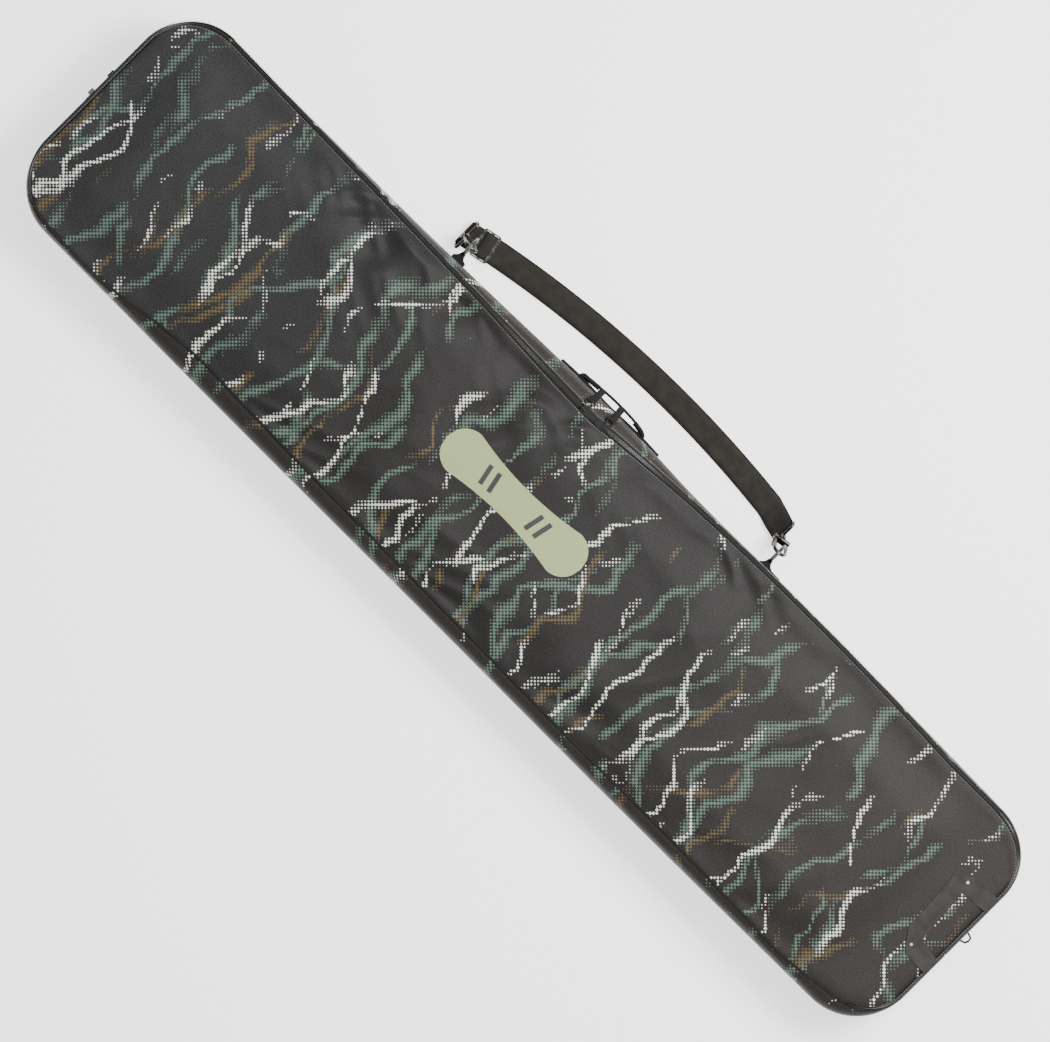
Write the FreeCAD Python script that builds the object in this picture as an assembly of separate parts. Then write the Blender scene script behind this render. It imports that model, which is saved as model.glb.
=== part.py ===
import FreeCAD, Part
import math
import os

V = FreeCAD.Vector

# Snowboard bag lying on its back panel. Millimetres, +X from nose to tail, +Y to the side that carries
# the zip, the handle and the shoulder strap, +Z up. The origin is on the underside of the back panel.

# ---- bag outline, seen from above ----
BAG_LENGTH = 1650.0
HINGE_SIDE_Y = -185.0
STRAP_SIDE_Y = 188.0
CORNER_R = 88.0
CORNER_START = BAG_LENGTH / 2 - CORNER_R

# ---- layers ----
FABRIC = 1.2
FOAM = 6.0
LINING = 0.8
WALL = FABRIC + FOAM + LINING
FRONT_Z = 122.0           # outer face of the front, level with the top of the gusset
FRONT_FOAM_Z = FRONT_Z - FABRIC
FRONT_LINING_Z = FRONT_FOAM_Z - FOAM
FRONT_INNER_Z = FRONT_LINING_Z - LINING
SEAT_GAP = 0.5            # between the front's underside and the top of the side walls
PIPING_R = 2.5
PIPING_FOOT = 1.5         # the piping's underside above the ground
FRONT_PIPING_R = 1.8
WEBBING = 1.6

# ---- line of the zip: centre of the coil, seen from above ----
ZIP_END_X = 813.0
HINGE_Y = -163.0
ZIP_CORNER_R = 76.0
ZIP_LOW = V(-28.0, 164.5, 0)      # where the two sliders meet
ZIP_NOSE_Y = 179.5
ZIP_TAIL_R = 5000.0
ZIP_TAIL_TOP = V(384.0, 181.5, 0)
ZIP_TAIL_END_X = 640.0
ZIP_HALF = 5.0                    # half the strip between the two fabric edges
COIL_IN = 1.3
COIL_OUT = 3.4
COIL_H = 2.0
TAPE_Z = FRONT_Z - 3.0
TAPE = 1.2
COIL_Z = TAPE_Z + TAPE
HINGE_GAP = 0.4                   # from the hinge line to the fabric edge on either side of it
FRONT_PIPING_IN = 8.0
STOP_SIZE = (13.0, 13.0, 1.5)     # webbing patch over each end of the zip
STOP_GAP = 1.0

# ---- crown of the front ----
CROWN_H = 8.0
CROWN_BASE = (-785.0, 735.0, -148.0, 142.0)
CROWN_RUN = 70.0

# ---- hardware on the strap side ----
HARDWARE_Z = 72.0
TAB_W = 25.0
TAB_T = 3.2
TAB_ROOT = 8.0            # half the width of the folded webbing where it is sewn on
TAB_NOSE_BASE = (8.0, 8.0)
TAB_TAIL_BASE = (8.0, 28.0)
RING_WIRE_R = 2.25        # wire of the rings and of the strap's eyes
RING_BAR_Y = STRAP_SIDE_Y + 11.0
RING_LEG = 12.0
RING_R = 16.0
RING_CORNER_R = 3.5
RING_NOSE_X = -314.0
RING_TAIL_X = 278.0
RUNNING = 0.06            # radial clearance of a pin in its hole
OVERLAP = 1.0             # how far a cutting tool, or the next piece of one casting, runs past the edge
SWING_Y = RING_BAR_Y + RING_LEG

# ---- snap hook; its own axes are x across the mouth, y along the ring's wire, z down the shank ----
HOOK_WIRE_R = 2.6
MOUTH_R = 9.1             # centreline of the closed end
MOUTH_Z = 2.0
NOSE_TIP_Z = 5.9
GATE_START_Z = 6.5
GATE_R = 2.1
GATE_HALF = 2.0           # half its thickness between the cheeks of the fork
GATE_ROOT = 2.0           # end of the gate's arm, ahead of the pivot
GATE_CLEAR = 0.8          # the gate is thinned for the spring from this far ahead of the fork
BASE_Z0 = 21.0
BASE_Z1 = 29.0
BASE_HALF = 4.0
BASE_REACH = 3.4          # fork beyond the gate's pivot
FORK_X = 4.6
FORK_HALF = 2.3
FORK_CLEAR = 0.4
PIVOT_Z = 24.5
PIN_R = 1.2
KNUCKLE_R = 3.2
KNUCKLE_END = 1.0         # the knuckle stops here along the pin, to leave room for the spring
KNUCKLE_ROOT = 3.4
SPRING_Y = (1.2, 2.2)
SPRING_R = 2.0
BARREL_R = 5.5
BARREL_Z1 = 36.5
POST_R = 2.4
HEAD_R = 4.0
HEAD_Z = (25.3, 28.6)
HEAD_CLEAR = 0.3
EYE_NEAR_Z = 39.3
EYE_FAR_Z = 50.0
EYE_HALF = 22.25
EYE_CORNER_R = 4.0

# ---- each hook's stance: tilt from vertical about X, lean towards the nose ----
NOSE_TILT, NOSE_LEAN = math.radians(11.7), math.radians(23.6)
TAIL_TILT, TAIL_LEAN = math.radians(28.9), math.radians(15.6)

# ---- shoulder strap on the ground ----
STRAP_W = 38.0
STRAP_NOSE = V(-319.0, 227.0, 0)
STRAP_TOP = V(-20.0, 263.5, 0)
STRAP_TAIL = V(228.0, 253.5, 0)
ADJUSTER_X = -303.0
ADJUSTER_SIZE = (28.0, 43.4, 3.0)
ADJUSTER_Z = 1.95
ADJUSTER_BAR = 4.5
ADJUSTER_WINDOW = 7.0
ADJUSTER_RIM = 1.9
ADJUSTER_CORNER = 4.0
ADJUSTER_SKIN = 1.5       # webbing over the middle bar
EYE_START = 2.5           # flat webbing starts this far from the middle of the eye's bar

# ---- sliders and pulls; x runs along the zip towards its own end of the bag, y outboard ----
SLIDER_X = {"nose": -41.0, "tail": -15.0}
SLIDER_L = 21.0
SLIDER_W = 11.0
SLIDER_LIFT = 0.7         # top plate above the coil
SLIDER_TOP_T = 1.8
SLIDER_DROP = 0.4         # low plate below the tape
SLIDER_LOW_T = 1.5
SLIDER_POST_X = (-5.0, 0.5)
SLIDER_POST_HALF = 0.9
SLIDER_LIP_Y = 4.0
SLIDER_LIP = 0.7
SLIDER_LIP_H = 1.6
BRIDGE_X = 6.5
BRIDGE_Z = 127.4
BRIDGE_R = 1.1
BRIDGE_HALF = 3.5
BRIDGE_LEG = 1.5
LEG_HALF = 1.4
PULLER_NEAR = 3.2         # half-widths of the puller at the bridge and at its far end
PULLER_FAR = 7.5
PULLER_L = 17.0
PULLER_T = 1.6
PULLER_RIM = 2.0
PULLER_FAR_BAR = 2.5
TAB_HALF = 5.0
TAB_HALF_T = 1.7
TAB_LAP = 3.2             # webbing folded back past the puller's far end
TAB_END = 38.0

# ---- handles ----
HANDLE_STRIP_X = (-117.0, 69.0)
HANDLE_GRIP_X = (-83.0, 36.0)
HANDLE_FOOT = 13.0
FINGER_GAP = 10.5
GRIP_T = 4.0
GRIP_CHAMFER = 4.0
HAUL_Z = FRONT_Z + 0.3
HAUL_T = 2.2
HAUL_OUTER = [(802.5, 92.0), (775.0, 90.5), (754.0, 73.0), (761.0, -22.0), (782.0, -49.0), (802.5, -50.5)]
HAUL_INNER = [(802.5, -25.5), (790.0, -24.5), (785.0, -18.0), (779.0, 60.0), (783.0, 65.5), (802.5, 67.0)]
STUDS = [(774.5, 79.0), (779.5, -34.5)]
STUD_R = 2.0
STUD_H = 0.7

# ---- trim in the end seams: how far it stands out, and its range along the seam ----
TRIM_T = 3.0
TAIL_LOOP = (11.0, (17.0, 32.0))
NOSE_LOOP = (5.0, (27.0, 39.0))
LABEL = (8.0, (-16.0, 2.0))
LABEL_T = 1.0


def box(x, y, z):
    """Box between the two ends of each range."""
    return Part.makeBox(x[1] - x[0], y[1] - y[0], z[1] - z[0], V(x[0], y[0], z[0]))


def rod(start, end, radius):
    axis = end - start
    return Part.makeCylinder(radius, axis.Length, start, axis)


def unit(v):
    return V(v).normalize()


def rounded_edges(points, radii, closed=True):
    """Straight edges through the points, with a tangent arc of the given radius at each of them."""
    count = len(points)
    edges = []
    spans = []
    for i, (corner, radius) in enumerate(zip(points, radii)):
        if radius == 0:
            spans.append((corner, corner, None))
            continue
        back = unit(points[i - 1] - corner)
        ahead = unit(points[(i + 1) % count] - corner)
        half = back.getAngle(ahead) / 2
        reach = radius / math.tan(half)
        centre = corner + unit(back + ahead) * (radius / math.sin(half))
        middle = centre + unit(corner - centre) * radius
        spans.append((corner + back * reach, corner + ahead * reach, middle))
    for i, (start, end, middle) in enumerate(spans):
        if middle is not None:
            edges.append(Part.Arc(start, middle, end).toShape())
        if i + 1 < count or closed:
            following = spans[(i + 1) % count][0]
            if (following - end).Length > 1e-6:
                edges.append(Part.LineSegment(end, following).toShape())
    return edges


def rounded_rectangle(x, y, radius, z=0.0):
    corners = [V(x[0], y[0], z), V(x[0], y[1], z), V(x[1], y[1], z), V(x[1], y[0], z)]
    return Part.Wire(rounded_edges(corners, [radius] * 4))


def plate(wire, z):
    """Solid inside a closed wire drawn at height 0, between two heights."""
    face = Part.Face(wire)
    face.translate(V(0, 0, z[0]))
    return face.extrude(V(0, 0, z[1] - z[0]))


def polygon(points):
    return Part.makePolygon(points + [points[0]])


def outline(inset):
    """The bag's outline, moved inwards."""
    half = BAG_LENGTH / 2 - inset
    return rounded_rectangle((-half, half), (HINGE_SIDE_Y + inset, STRAP_SIDE_Y - inset), CORNER_R - inset)


def tail_leg_y(x):
    """The zip's curved stretch between the sliders' meeting point and the tail."""
    drop = math.sqrt(ZIP_TAIL_R ** 2 - (x - ZIP_TAIL_TOP.x) ** 2) - ZIP_TAIL_R
    return ZIP_TAIL_TOP.y + drop


def zip_line(offset):
    """The closed line of the zip and the hinge seam, moved outwards."""
    tail_start = V(ZIP_LOW.x, tail_leg_y(ZIP_LOW.x), 0)
    tail_end = V(ZIP_TAIL_END_X, tail_leg_y(ZIP_TAIL_END_X), 0)
    tail_middle_x = (ZIP_LOW.x + ZIP_TAIL_END_X) / 2
    arc = Part.Arc(tail_start, V(tail_middle_x, tail_leg_y(tail_middle_x), 0), tail_end).toShape()
    corners = [
        tail_end,
        V(ZIP_END_X, tail_end.y, 0),
        V(ZIP_END_X, HINGE_Y, 0),
        V(-ZIP_END_X, HINGE_Y, 0),
        V(-ZIP_END_X, ZIP_NOSE_Y, 0),
        tail_start,
    ]
    radii = [0, ZIP_CORNER_R, ZIP_CORNER_R, ZIP_CORNER_R, ZIP_CORNER_R, 0]
    wire = Part.Wire([arc] + rounded_edges(corners, radii, closed=False))
    return wire if offset == 0 else wire.makeOffset2D(offset, 2)


def ring(outer, inner, z):
    return plate(outer, z).cut(plate(inner, z))


def tube_along(path, radius):
    """Round section swept along a path of lines and arcs."""
    first = path.OrderedEdges[0]
    start = path.OrderedVertexes[0].Point
    along = first.tangentAt(first.FirstParameter)
    section = Part.Wire([Part.makeCircle(radius, start, along)])
    return Part.Wire(path.OrderedEdges).makePipeShell([section], True, False, 1)


def one_solid(shape):
    """The shape's largest solid, so that a node never holds a stray sliver."""
    return max(shape.Solids, key=lambda solid: solid.Volume)


def joined(*shapes):
    first, rest = shapes[0], list(shapes[1:])
    return one_solid(first.fuse(rest).removeSplitter())


# ---------------------------------------------------------------- back panel
def back_layers():
    return {
        "back_panel": plate(outline(0), (0, FABRIC)),
        "back_foam": plate(outline(FABRIC), (FABRIC, FABRIC + FOAM)),
        "back_lining": plate(outline(FABRIC), (FABRIC + FOAM, WALL)),
    }


def back_piping():
    """Half-round cord sewn round the foot of the gusset."""
    path = outline(0)
    path.translate(V(0, 0, PIPING_FOOT + PIPING_R))
    whole = tube_along(path, PIPING_R)
    return one_solid(whole.cut(plate(outline(0), (-PIPING_R, 3 * PIPING_R))))


# ---------------------------------------------------------------- gusset
def gusset_roll(inset, z):
    """One layer of the strip that rolls over the side walls to the zip, and to the hinge seam."""
    to_seam = (HINGE_Y - 2 * ZIP_HALF, HINGE_Y - HINGE_GAP)
    leaf = box((-CORNER_START, CORNER_START), to_seam, z)
    return ring(outline(inset), zip_line(ZIP_HALF), z).fuse(leaf)


def gusset_layers():
    """Fabric, foam and lining of the whole gusset, before it is cut into its four stretches."""
    wall_top = FRONT_INNER_Z - SEAT_GAP
    fabric = ring(outline(0), outline(FABRIC), (FABRIC, FRONT_FOAM_Z))
    foam = ring(outline(FABRIC), outline(FABRIC + FOAM), (WALL, wall_top))
    return {
        "fabric": fabric.fuse(gusset_roll(0, (FRONT_FOAM_Z, FRONT_Z))).removeSplitter(),
        "foam": foam.fuse(gusset_roll(FABRIC, (wall_top, FRONT_FOAM_Z))).removeSplitter(),
        "lining": ring(outline(FABRIC + FOAM), outline(WALL), (WALL, wall_top)),
    }


def gusset_parts():
    """Each layer cut at the ends of the straight sides, as its four sewn stretches. Along the sides the
    foam is in two pieces, the wall and the roll above it, so that each is a simple block."""
    far = BAG_LENGTH
    wall_top = FRONT_INNER_Z - SEAT_GAP
    stretches = {
        "strap_side": box((-CORNER_START, CORNER_START), (0, far), (-far, far)),
        "hinge_side": box((-CORNER_START, CORNER_START), (-far, 0), (-far, far)),
        "nose": box((-far, -CORNER_START), (-far, far), (-far, far)),
        "tail": box((CORNER_START, far), (-far, far), (-far, far)),
    }
    parts = {}
    for layer, whole in gusset_layers().items():
        for place, region in stretches.items():
            parts[f"gusset_{layer}_{place}"] = one_solid(whole.common(region))
    for place in ("strap_side", "hinge_side"):
        foam = parts[f"gusset_foam_{place}"]
        for name, z in (("gusset_foam", (0, wall_top)), ("roll_foam", (wall_top, FRONT_Z))):
            parts[f"{name}_{place}"] = one_solid(foam.common(box((-far, far), (-far, far), z)))
    return parts


# ---------------------------------------------------------------- front
def crown(z, rise):
    """Low pillow on the front, flat on top."""
    x0, x1, y0, y1 = CROWN_BASE
    base = rounded_rectangle((x0, x1), (y0, y1), CORNER_R, z)
    top = rounded_rectangle(
        (x0 + CROWN_RUN, x1 - CROWN_RUN), (y0 + CROWN_RUN, y1 - CROWN_RUN), CORNER_R - CROWN_RUN, z + rise
    )
    return Part.makeLoft([base, top], True, True)


def front_sheet(z):
    """One flat layer of the front, from the zip to the hinge seam."""
    to_seam = (HINGE_Y + HINGE_GAP, HINGE_Y + 2 * ZIP_HALF)
    leaf = box((-CORNER_START, CORNER_START), to_seam, z)
    return plate(zip_line(-ZIP_HALF), z).fuse(leaf).removeSplitter()


def front_layers():
    hollow = crown(FRONT_FOAM_Z, CROWN_H)
    skin = front_sheet((FRONT_FOAM_Z, FRONT_Z)).fuse(crown(FRONT_Z, CROWN_H)).cut(hollow).removeSplitter()
    foam = front_sheet((FRONT_LINING_Z, FRONT_FOAM_Z)).fuse(hollow).removeSplitter()
    lining = front_sheet((FRONT_INNER_Z, FRONT_LINING_Z))
    return {"front_panel": one_solid(skin), "front_foam": one_solid(foam), "front_lining": one_solid(lining)}


def front_piping():
    """Flat-bottomed cord along the front panel's seam."""
    outer = zip_line(FRONT_PIPING_R - FRONT_PIPING_IN)
    inner = zip_line(-FRONT_PIPING_R - FRONT_PIPING_IN)
    return one_solid(ring(outer, inner, (FRONT_Z, FRONT_Z + FRONT_PIPING_R)))


def front_emblem():
    """Plain pictogram of a snowboard with two binding marks, printed on the crown."""
    tip, waist, half, centre = 34.0, 24.0, 128.0, V(-25.0, 8.0, 0)
    shoulder = half - tip
    left, right = V(-shoulder, 0, 0), V(shoulder, 0, 0)
    up = V(0, tip, 0)
    wire = Part.Wire([
        Part.Arc(left - up, V(-half, 0, 0), left + up).toShape(),
        Part.Arc(left + up, V(0, waist, 0), right + up).toShape(),
        Part.Arc(right + up, V(half, 0, 0), right - up).toShape(),
        Part.Arc(right - up, V(0, -waist, 0), left - up).toShape(),
    ])
    print_t = 0.3
    board = plate(wire, (0, print_t))
    mark_x, mark_half, mark_reach, mark_r, mark_turn = 46.0, 7.0, 15.0, 3.0, 12.0
    mark_outline = rounded_rectangle((-mark_half, mark_half), (-mark_reach, mark_reach), mark_r)
    for side in (-1, 1):
        mark = plate(mark_outline, (-OVERLAP, OVERLAP))
        mark.rotate(V(0, 0, 0), V(0, 0, 1), -side * mark_turn)
        mark.translate(V(side * mark_x, 0, 0))
        board = board.cut(mark)
    board.translate(centre + V(0, 0, FRONT_Z + CROWN_H))
    return one_solid(board)


# ---------------------------------------------------------------- zip
def zip_strip(inner, outer, z):
    """A strip beside the zip's line, left out along the straight hinge side."""
    hinge_side = box((-CORNER_START, CORNER_START), (-BAG_LENGTH, 0), (0, BAG_LENGTH))
    return one_solid(ring(zip_line(outer), zip_line(inner), z).cut(hinge_side))


def zip_parts():
    tape = (TAPE_Z, COIL_Z)
    coil = (COIL_Z, COIL_Z + COIL_H)
    parts = {
        "zip_tape_body": zip_strip(COIL_IN, ZIP_HALF, tape),
        "zip_coil_body": zip_strip(COIL_IN, COIL_OUT, coil),
        "zip_tape_front": zip_strip(-ZIP_HALF, -COIL_IN, tape),
        "zip_coil_front": zip_strip(-COIL_OUT, -COIL_IN, coil),
    }
    stop_l, stop_w, stop_h = STOP_SIZE
    stops = [
        box((x, x + stop_l), (HINGE_Y - STOP_GAP - stop_w, HINGE_Y - STOP_GAP), (FRONT_Z, FRONT_Z + stop_h))
        for x in (-CORNER_START + STOP_GAP, CORNER_START - STOP_GAP - stop_l)
    ]
    parts["zip_end_stops"] = Part.makeCompound(stops)
    return parts


def slider_place(end):
    """Where one slider stands: its point on the zip, and the turn of the zip there."""
    x = SLIDER_X[end]
    if end == "nose":
        slope = math.atan2(ZIP_NOSE_Y - ZIP_LOW.y, -ZIP_END_X - ZIP_LOW.x)
        return V(x, ZIP_LOW.y + (x - ZIP_LOW.x) * math.tan(slope), 0), math.degrees(slope)
    slope = math.asin((ZIP_TAIL_TOP.x - x) / ZIP_TAIL_R)
    return V(x, tail_leg_y(x), 0), math.degrees(slope)


def put_slider(shape, end):
    point, turn = slider_place(end)
    if end == "nose":
        shape = shape.mirror(V(0, 0, 0), V(0, 1, 0))
    shape.rotate(V(0, 0, 0), V(0, 0, 1), turn)
    shape.translate(point)
    return shape


def slider_body():
    """Top and bottom plates joined by the post that parts the coils, with the bridge for the pull."""
    half_l, half_w = SLIDER_L / 2, SLIDER_W / 2
    front_taper, chamfer, low_inset = 6.0, 2.0, 1.0
    top_z = (COIL_Z + COIL_H + SLIDER_LIFT, COIL_Z + COIL_H + SLIDER_LIFT + SLIDER_TOP_T)
    low_z = (TAPE_Z - SLIDER_DROP - SLIDER_LOW_T, TAPE_Z - SLIDER_DROP)
    end_w, side_x, taper_x = half_w - chamfer, half_l - chamfer, front_taper - half_l
    top = plate(polygon([
        V(-half_l, -end_w, 0), V(taper_x, -half_w, 0), V(side_x, -half_w, 0), V(half_l, -end_w, 0),
        V(half_l, end_w, 0), V(side_x, half_w, 0), V(taper_x, half_w, 0), V(-half_l, end_w, 0),
    ]), top_z)
    low = box((low_inset - half_l, half_l - low_inset), (low_inset - half_w, half_w - low_inset), low_z)
    post = box(SLIDER_POST_X, (-SLIDER_POST_HALF, SLIDER_POST_HALF), (low_z[1], top_z[0]))
    lips = [
        box((taper_x, side_x), (y, y + SLIDER_LIP), (top_z[0] - SLIDER_LIP_H, top_z[0]))
        for y in (-SLIDER_LIP_Y - SLIDER_LIP, SLIDER_LIP_Y)
    ]
    legs = [
        box((x, x + BRIDGE_LEG), (-LEG_HALF, LEG_HALF), (top_z[1], BRIDGE_Z + BRIDGE_R))
        for x in (BRIDGE_X - BRIDGE_HALF - BRIDGE_LEG, BRIDGE_X + BRIDGE_HALF)
    ]
    bar_end = V(BRIDGE_HALF + BRIDGE_LEG / 2, 0, 0)
    middle = V(BRIDGE_X, 0, BRIDGE_Z)
    return joined(top, low, post, rod(middle - bar_end, middle + bar_end, BRIDGE_R), *lips, *legs)


def puller():
    """Metal frame that turns on the slider's bridge."""
    z = (BRIDGE_Z - PULLER_T / 2, BRIDGE_Z + PULLER_T / 2)
    near, far, rim = PULLER_NEAR, PULLER_FAR, PULLER_RIM
    knuckle_r = BRIDGE_R + BRIDGE_R
    start, window_start, window_end = LEG_HALF, knuckle_r + rim, PULLER_L - PULLER_FAR_BAR
    body = plate(polygon([
        V(BRIDGE_X - near, start, 0), V(BRIDGE_X - far, PULLER_L, 0),
        V(BRIDGE_X + far, PULLER_L, 0), V(BRIDGE_X + near, start, 0),
    ]), z)
    window = plate(polygon([
        V(BRIDGE_X - near + rim, window_start, 0), V(BRIDGE_X - far + rim, window_end, 0),
        V(BRIDGE_X + far - rim, window_end, 0), V(BRIDGE_X + near - rim, window_start, 0),
    ]), z)
    middle = V(BRIDGE_X, 0, BRIDGE_Z)
    knuckle = rod(middle - V(near, 0, 0), middle + V(near, 0, 0), knuckle_r)
    hole = rod(middle - V(far, 0, 0), middle + V(far, 0, 0), BRIDGE_R + RUNNING)
    return one_solid(joined(body.cut(window), knuckle).cut(hole))


def pull_tab():
    """Narrow webbing folded round the far bar of the puller."""
    clear = 0.1
    z = (BRIDGE_Z - TAB_HALF_T, BRIDGE_Z + TAB_HALF_T)
    tab = box((BRIDGE_X - TAB_HALF, BRIDGE_X + TAB_HALF), (PULLER_L - TAB_LAP, TAB_END), z)
    bar = box(
        (BRIDGE_X - PULLER_FAR, BRIDGE_X + PULLER_FAR),
        (PULLER_L - PULLER_FAR_BAR - clear, PULLER_L + clear),
        (BRIDGE_Z - PULLER_T / 2 - clear, BRIDGE_Z + PULLER_T / 2 + clear),
    )
    return one_solid(tab.cut(bar))


def slider_parts():
    parts = {}
    for end in ("nose", "tail"):
        parts[f"slider_{end}"] = put_slider(slider_body(), end)
        parts[f"puller_{end}"] = put_slider(puller(), end)
        parts[f"pull_tab_{end}"] = put_slider(pull_tab(), end)
    return parts


# ---------------------------------------------------------------- handles
def carry_handle():
    """Strip sewn along the gusset and the raised grip on it."""
    z = (HARDWARE_Z - TAB_W / 2, HARDWARE_Z + TAB_W / 2)
    face = STRAP_SIDE_Y
    strip = box(HANDLE_STRIP_X, (face, face + WEBBING), z)
    x0, x1 = HANDLE_GRIP_X
    inner = face + WEBBING + FINGER_GAP
    grip_outline = [
        V(x0, face + WEBBING, 0), V(x0 + HANDLE_FOOT, face + WEBBING, 0), V(x0 + HANDLE_FOOT, inner, 0),
        V(x1 - HANDLE_FOOT, inner, 0), V(x1 - HANDLE_FOOT, face + WEBBING, 0), V(x1, face + WEBBING, 0),
        V(x1, inner, 0), V(x1 - GRIP_CHAMFER, inner + GRIP_T, 0),
        V(x0 + GRIP_CHAMFER, inner + GRIP_T, 0), V(x0, inner, 0),
    ]
    return {"handle_strip": strip, "handle_grip": plate(polygon(grip_outline), z)}


def haul_handle():
    """Webbing folded into a U, flat on the front, sewn into the tail seam."""
    points = [V(x, y, 0) for x, y in HAUL_OUTER + HAUL_INNER]
    webbing = plate(polygon(points), (HAUL_Z, HAUL_Z + HAUL_T))
    studs = [
        rod(V(x, y, HAUL_Z + HAUL_T), V(x, y, HAUL_Z + HAUL_T + STUD_H), STUD_R)
        for x, y in STUDS
    ]
    return {"haul_handle": webbing, "haul_handle_studs": Part.makeCompound(studs)}


# ---------------------------------------------------------------- strap rings and tabs
def ring_tab(x, base):
    """Webbing sewn to the gusset and folded round the straight bar of the ring."""
    face = STRAP_SIDE_Y
    z = (HARDWARE_Z - TAB_W / 2, HARDWARE_Z + TAB_W / 2)
    foot = box((x - base[0], x + base[1]), (face, face + WEBBING), z)
    taper = polygon([
        V(x - TAB_ROOT, face, 0), V(x + TAB_ROOT, face, 0),
        V(x + TAB_T / 2, RING_BAR_Y, 0), V(x - TAB_T / 2, RING_BAR_Y, 0),
    ])
    low, high = V(x, RING_BAR_Y, z[0]), V(x, RING_BAR_Y, z[1])
    loop = rod(low, high, RING_WIRE_R + WEBBING)
    past = V(0, 0, OVERLAP)
    hole = rod(low - past, high + past, RING_WIRE_R + RUNNING)
    return one_solid(joined(foot, plate(taper, z), loop).cut(hole))


def d_ring(x):
    """D-shaped ring standing across the bag's length, its straight bar upright."""
    half = RING_R
    bar_y, arc_y = RING_BAR_Y, SWING_Y
    low, high = HARDWARE_Z - half, HARDWARE_Z + half
    c = RING_CORNER_R
    k = c * (1 - math.sqrt(0.5))
    edges = [
        Part.LineSegment(V(x, bar_y, low + c), V(x, bar_y, high - c)).toShape(),
        Part.Arc(V(x, bar_y, high - c), V(x, bar_y + k, high - k), V(x, bar_y + c, high)).toShape(),
        Part.LineSegment(V(x, bar_y + c, high), V(x, arc_y, high)).toShape(),
        Part.Arc(V(x, arc_y, high), V(x, arc_y + half, HARDWARE_Z), V(x, arc_y, low)).toShape(),
        Part.LineSegment(V(x, arc_y, low), V(x, bar_y + c, low)).toShape(),
        Part.Arc(V(x, bar_y + c, low), V(x, bar_y + k, low + k), V(x, bar_y, low + c)).toShape(),
    ]
    return tube_along(Part.Wire(edges), RING_WIRE_R)


# ---------------------------------------------------------------- snap hooks
def hook_frame(ring_x, tilt, lean):
    """A hook's origin on the ring's wire, and its axes: across the mouth, along the wire, down the shank."""
    out = V(0, math.sin(tilt), -math.cos(tilt))
    wire = V(0, math.cos(tilt), math.sin(tilt))
    shank = out * math.cos(lean) - V(1, 0, 0) * math.sin(lean)
    across = wire.cross(shank)
    origin = V(ring_x, SWING_Y, HARDWARE_Z) + out * RING_R
    return origin, across, wire, shank


def put_hook(shape, frame):
    origin, across, wire, shank = frame
    shape.transformShape(FreeCAD.Matrix(
        across.x, wire.x, shank.x, origin.x,
        across.y, wire.y, shank.y, origin.y,
        across.z, wire.z, shank.z, origin.z,
        0, 0, 0, 1,
    ))
    return shape


def hook_body():
    """J-shaped hook with the fork of its gate and the barrel of its swivel."""
    r = MOUTH_R
    path = Part.Wire([
        Part.LineSegment(V(-r, 0, BASE_Z0 + OVERLAP), V(-r, 0, MOUTH_Z)).toShape(),
        Part.Arc(V(-r, 0, MOUTH_Z), V(0, 0, MOUTH_Z - r), V(r, 0, MOUTH_Z)).toShape(),
        Part.LineSegment(V(r, 0, MOUTH_Z), V(r, 0, NOSE_TIP_Z)).toShape(),
    ])
    hook = tube_along(path, HOOK_WIRE_R)
    end_x = r + BASE_REACH
    base = box((-r - HOOK_WIRE_R, end_x), (-BASE_HALF, BASE_HALF), (BASE_Z0, BASE_Z1))
    barrel = rod(V(0, 0, BASE_Z1 - OVERLAP), V(0, 0, BARREL_Z1), BARREL_R)
    slot_z = (BASE_Z0 - OVERLAP, PIVOT_Z + KNUCKLE_R + FORK_CLEAR)
    slot = box((FORK_X, end_x + OVERLAP), (-FORK_HALF, FORK_HALF), slot_z)
    pin_reach = BASE_HALF + OVERLAP
    pin_hole = rod(V(r, -pin_reach, PIVOT_Z), V(r, pin_reach, PIVOT_Z), PIN_R)
    head_seat = rod(V(0, 0, HEAD_Z[0] - HEAD_CLEAR), V(0, 0, BASE_Z1), HEAD_R + HEAD_CLEAR)
    bore = rod(V(0, 0, BASE_Z1 - OVERLAP), V(0, 0, BARREL_Z1 + OVERLAP), POST_R + RUNNING)
    return one_solid(joined(hook, base, barrel).cut(slot).cut(pin_hole).cut(head_seat).cut(bore))


def gate_pin():
    return rod(V(MOUTH_R, -BASE_HALF, PIVOT_Z), V(MOUTH_R, BASE_HALF, PIVOT_Z), PIN_R)


def gate_spring():
    """Torsion coil round the gate's pin, as its outer shape."""
    start, end = V(MOUTH_R, SPRING_Y[0], PIVOT_Z), V(MOUTH_R, SPRING_Y[1], PIVOT_Z)
    past = V(0, OVERLAP, 0)
    return rod(start, end, SPRING_R).cut(rod(start - past, end + past, PIN_R + RUNNING))


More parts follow.
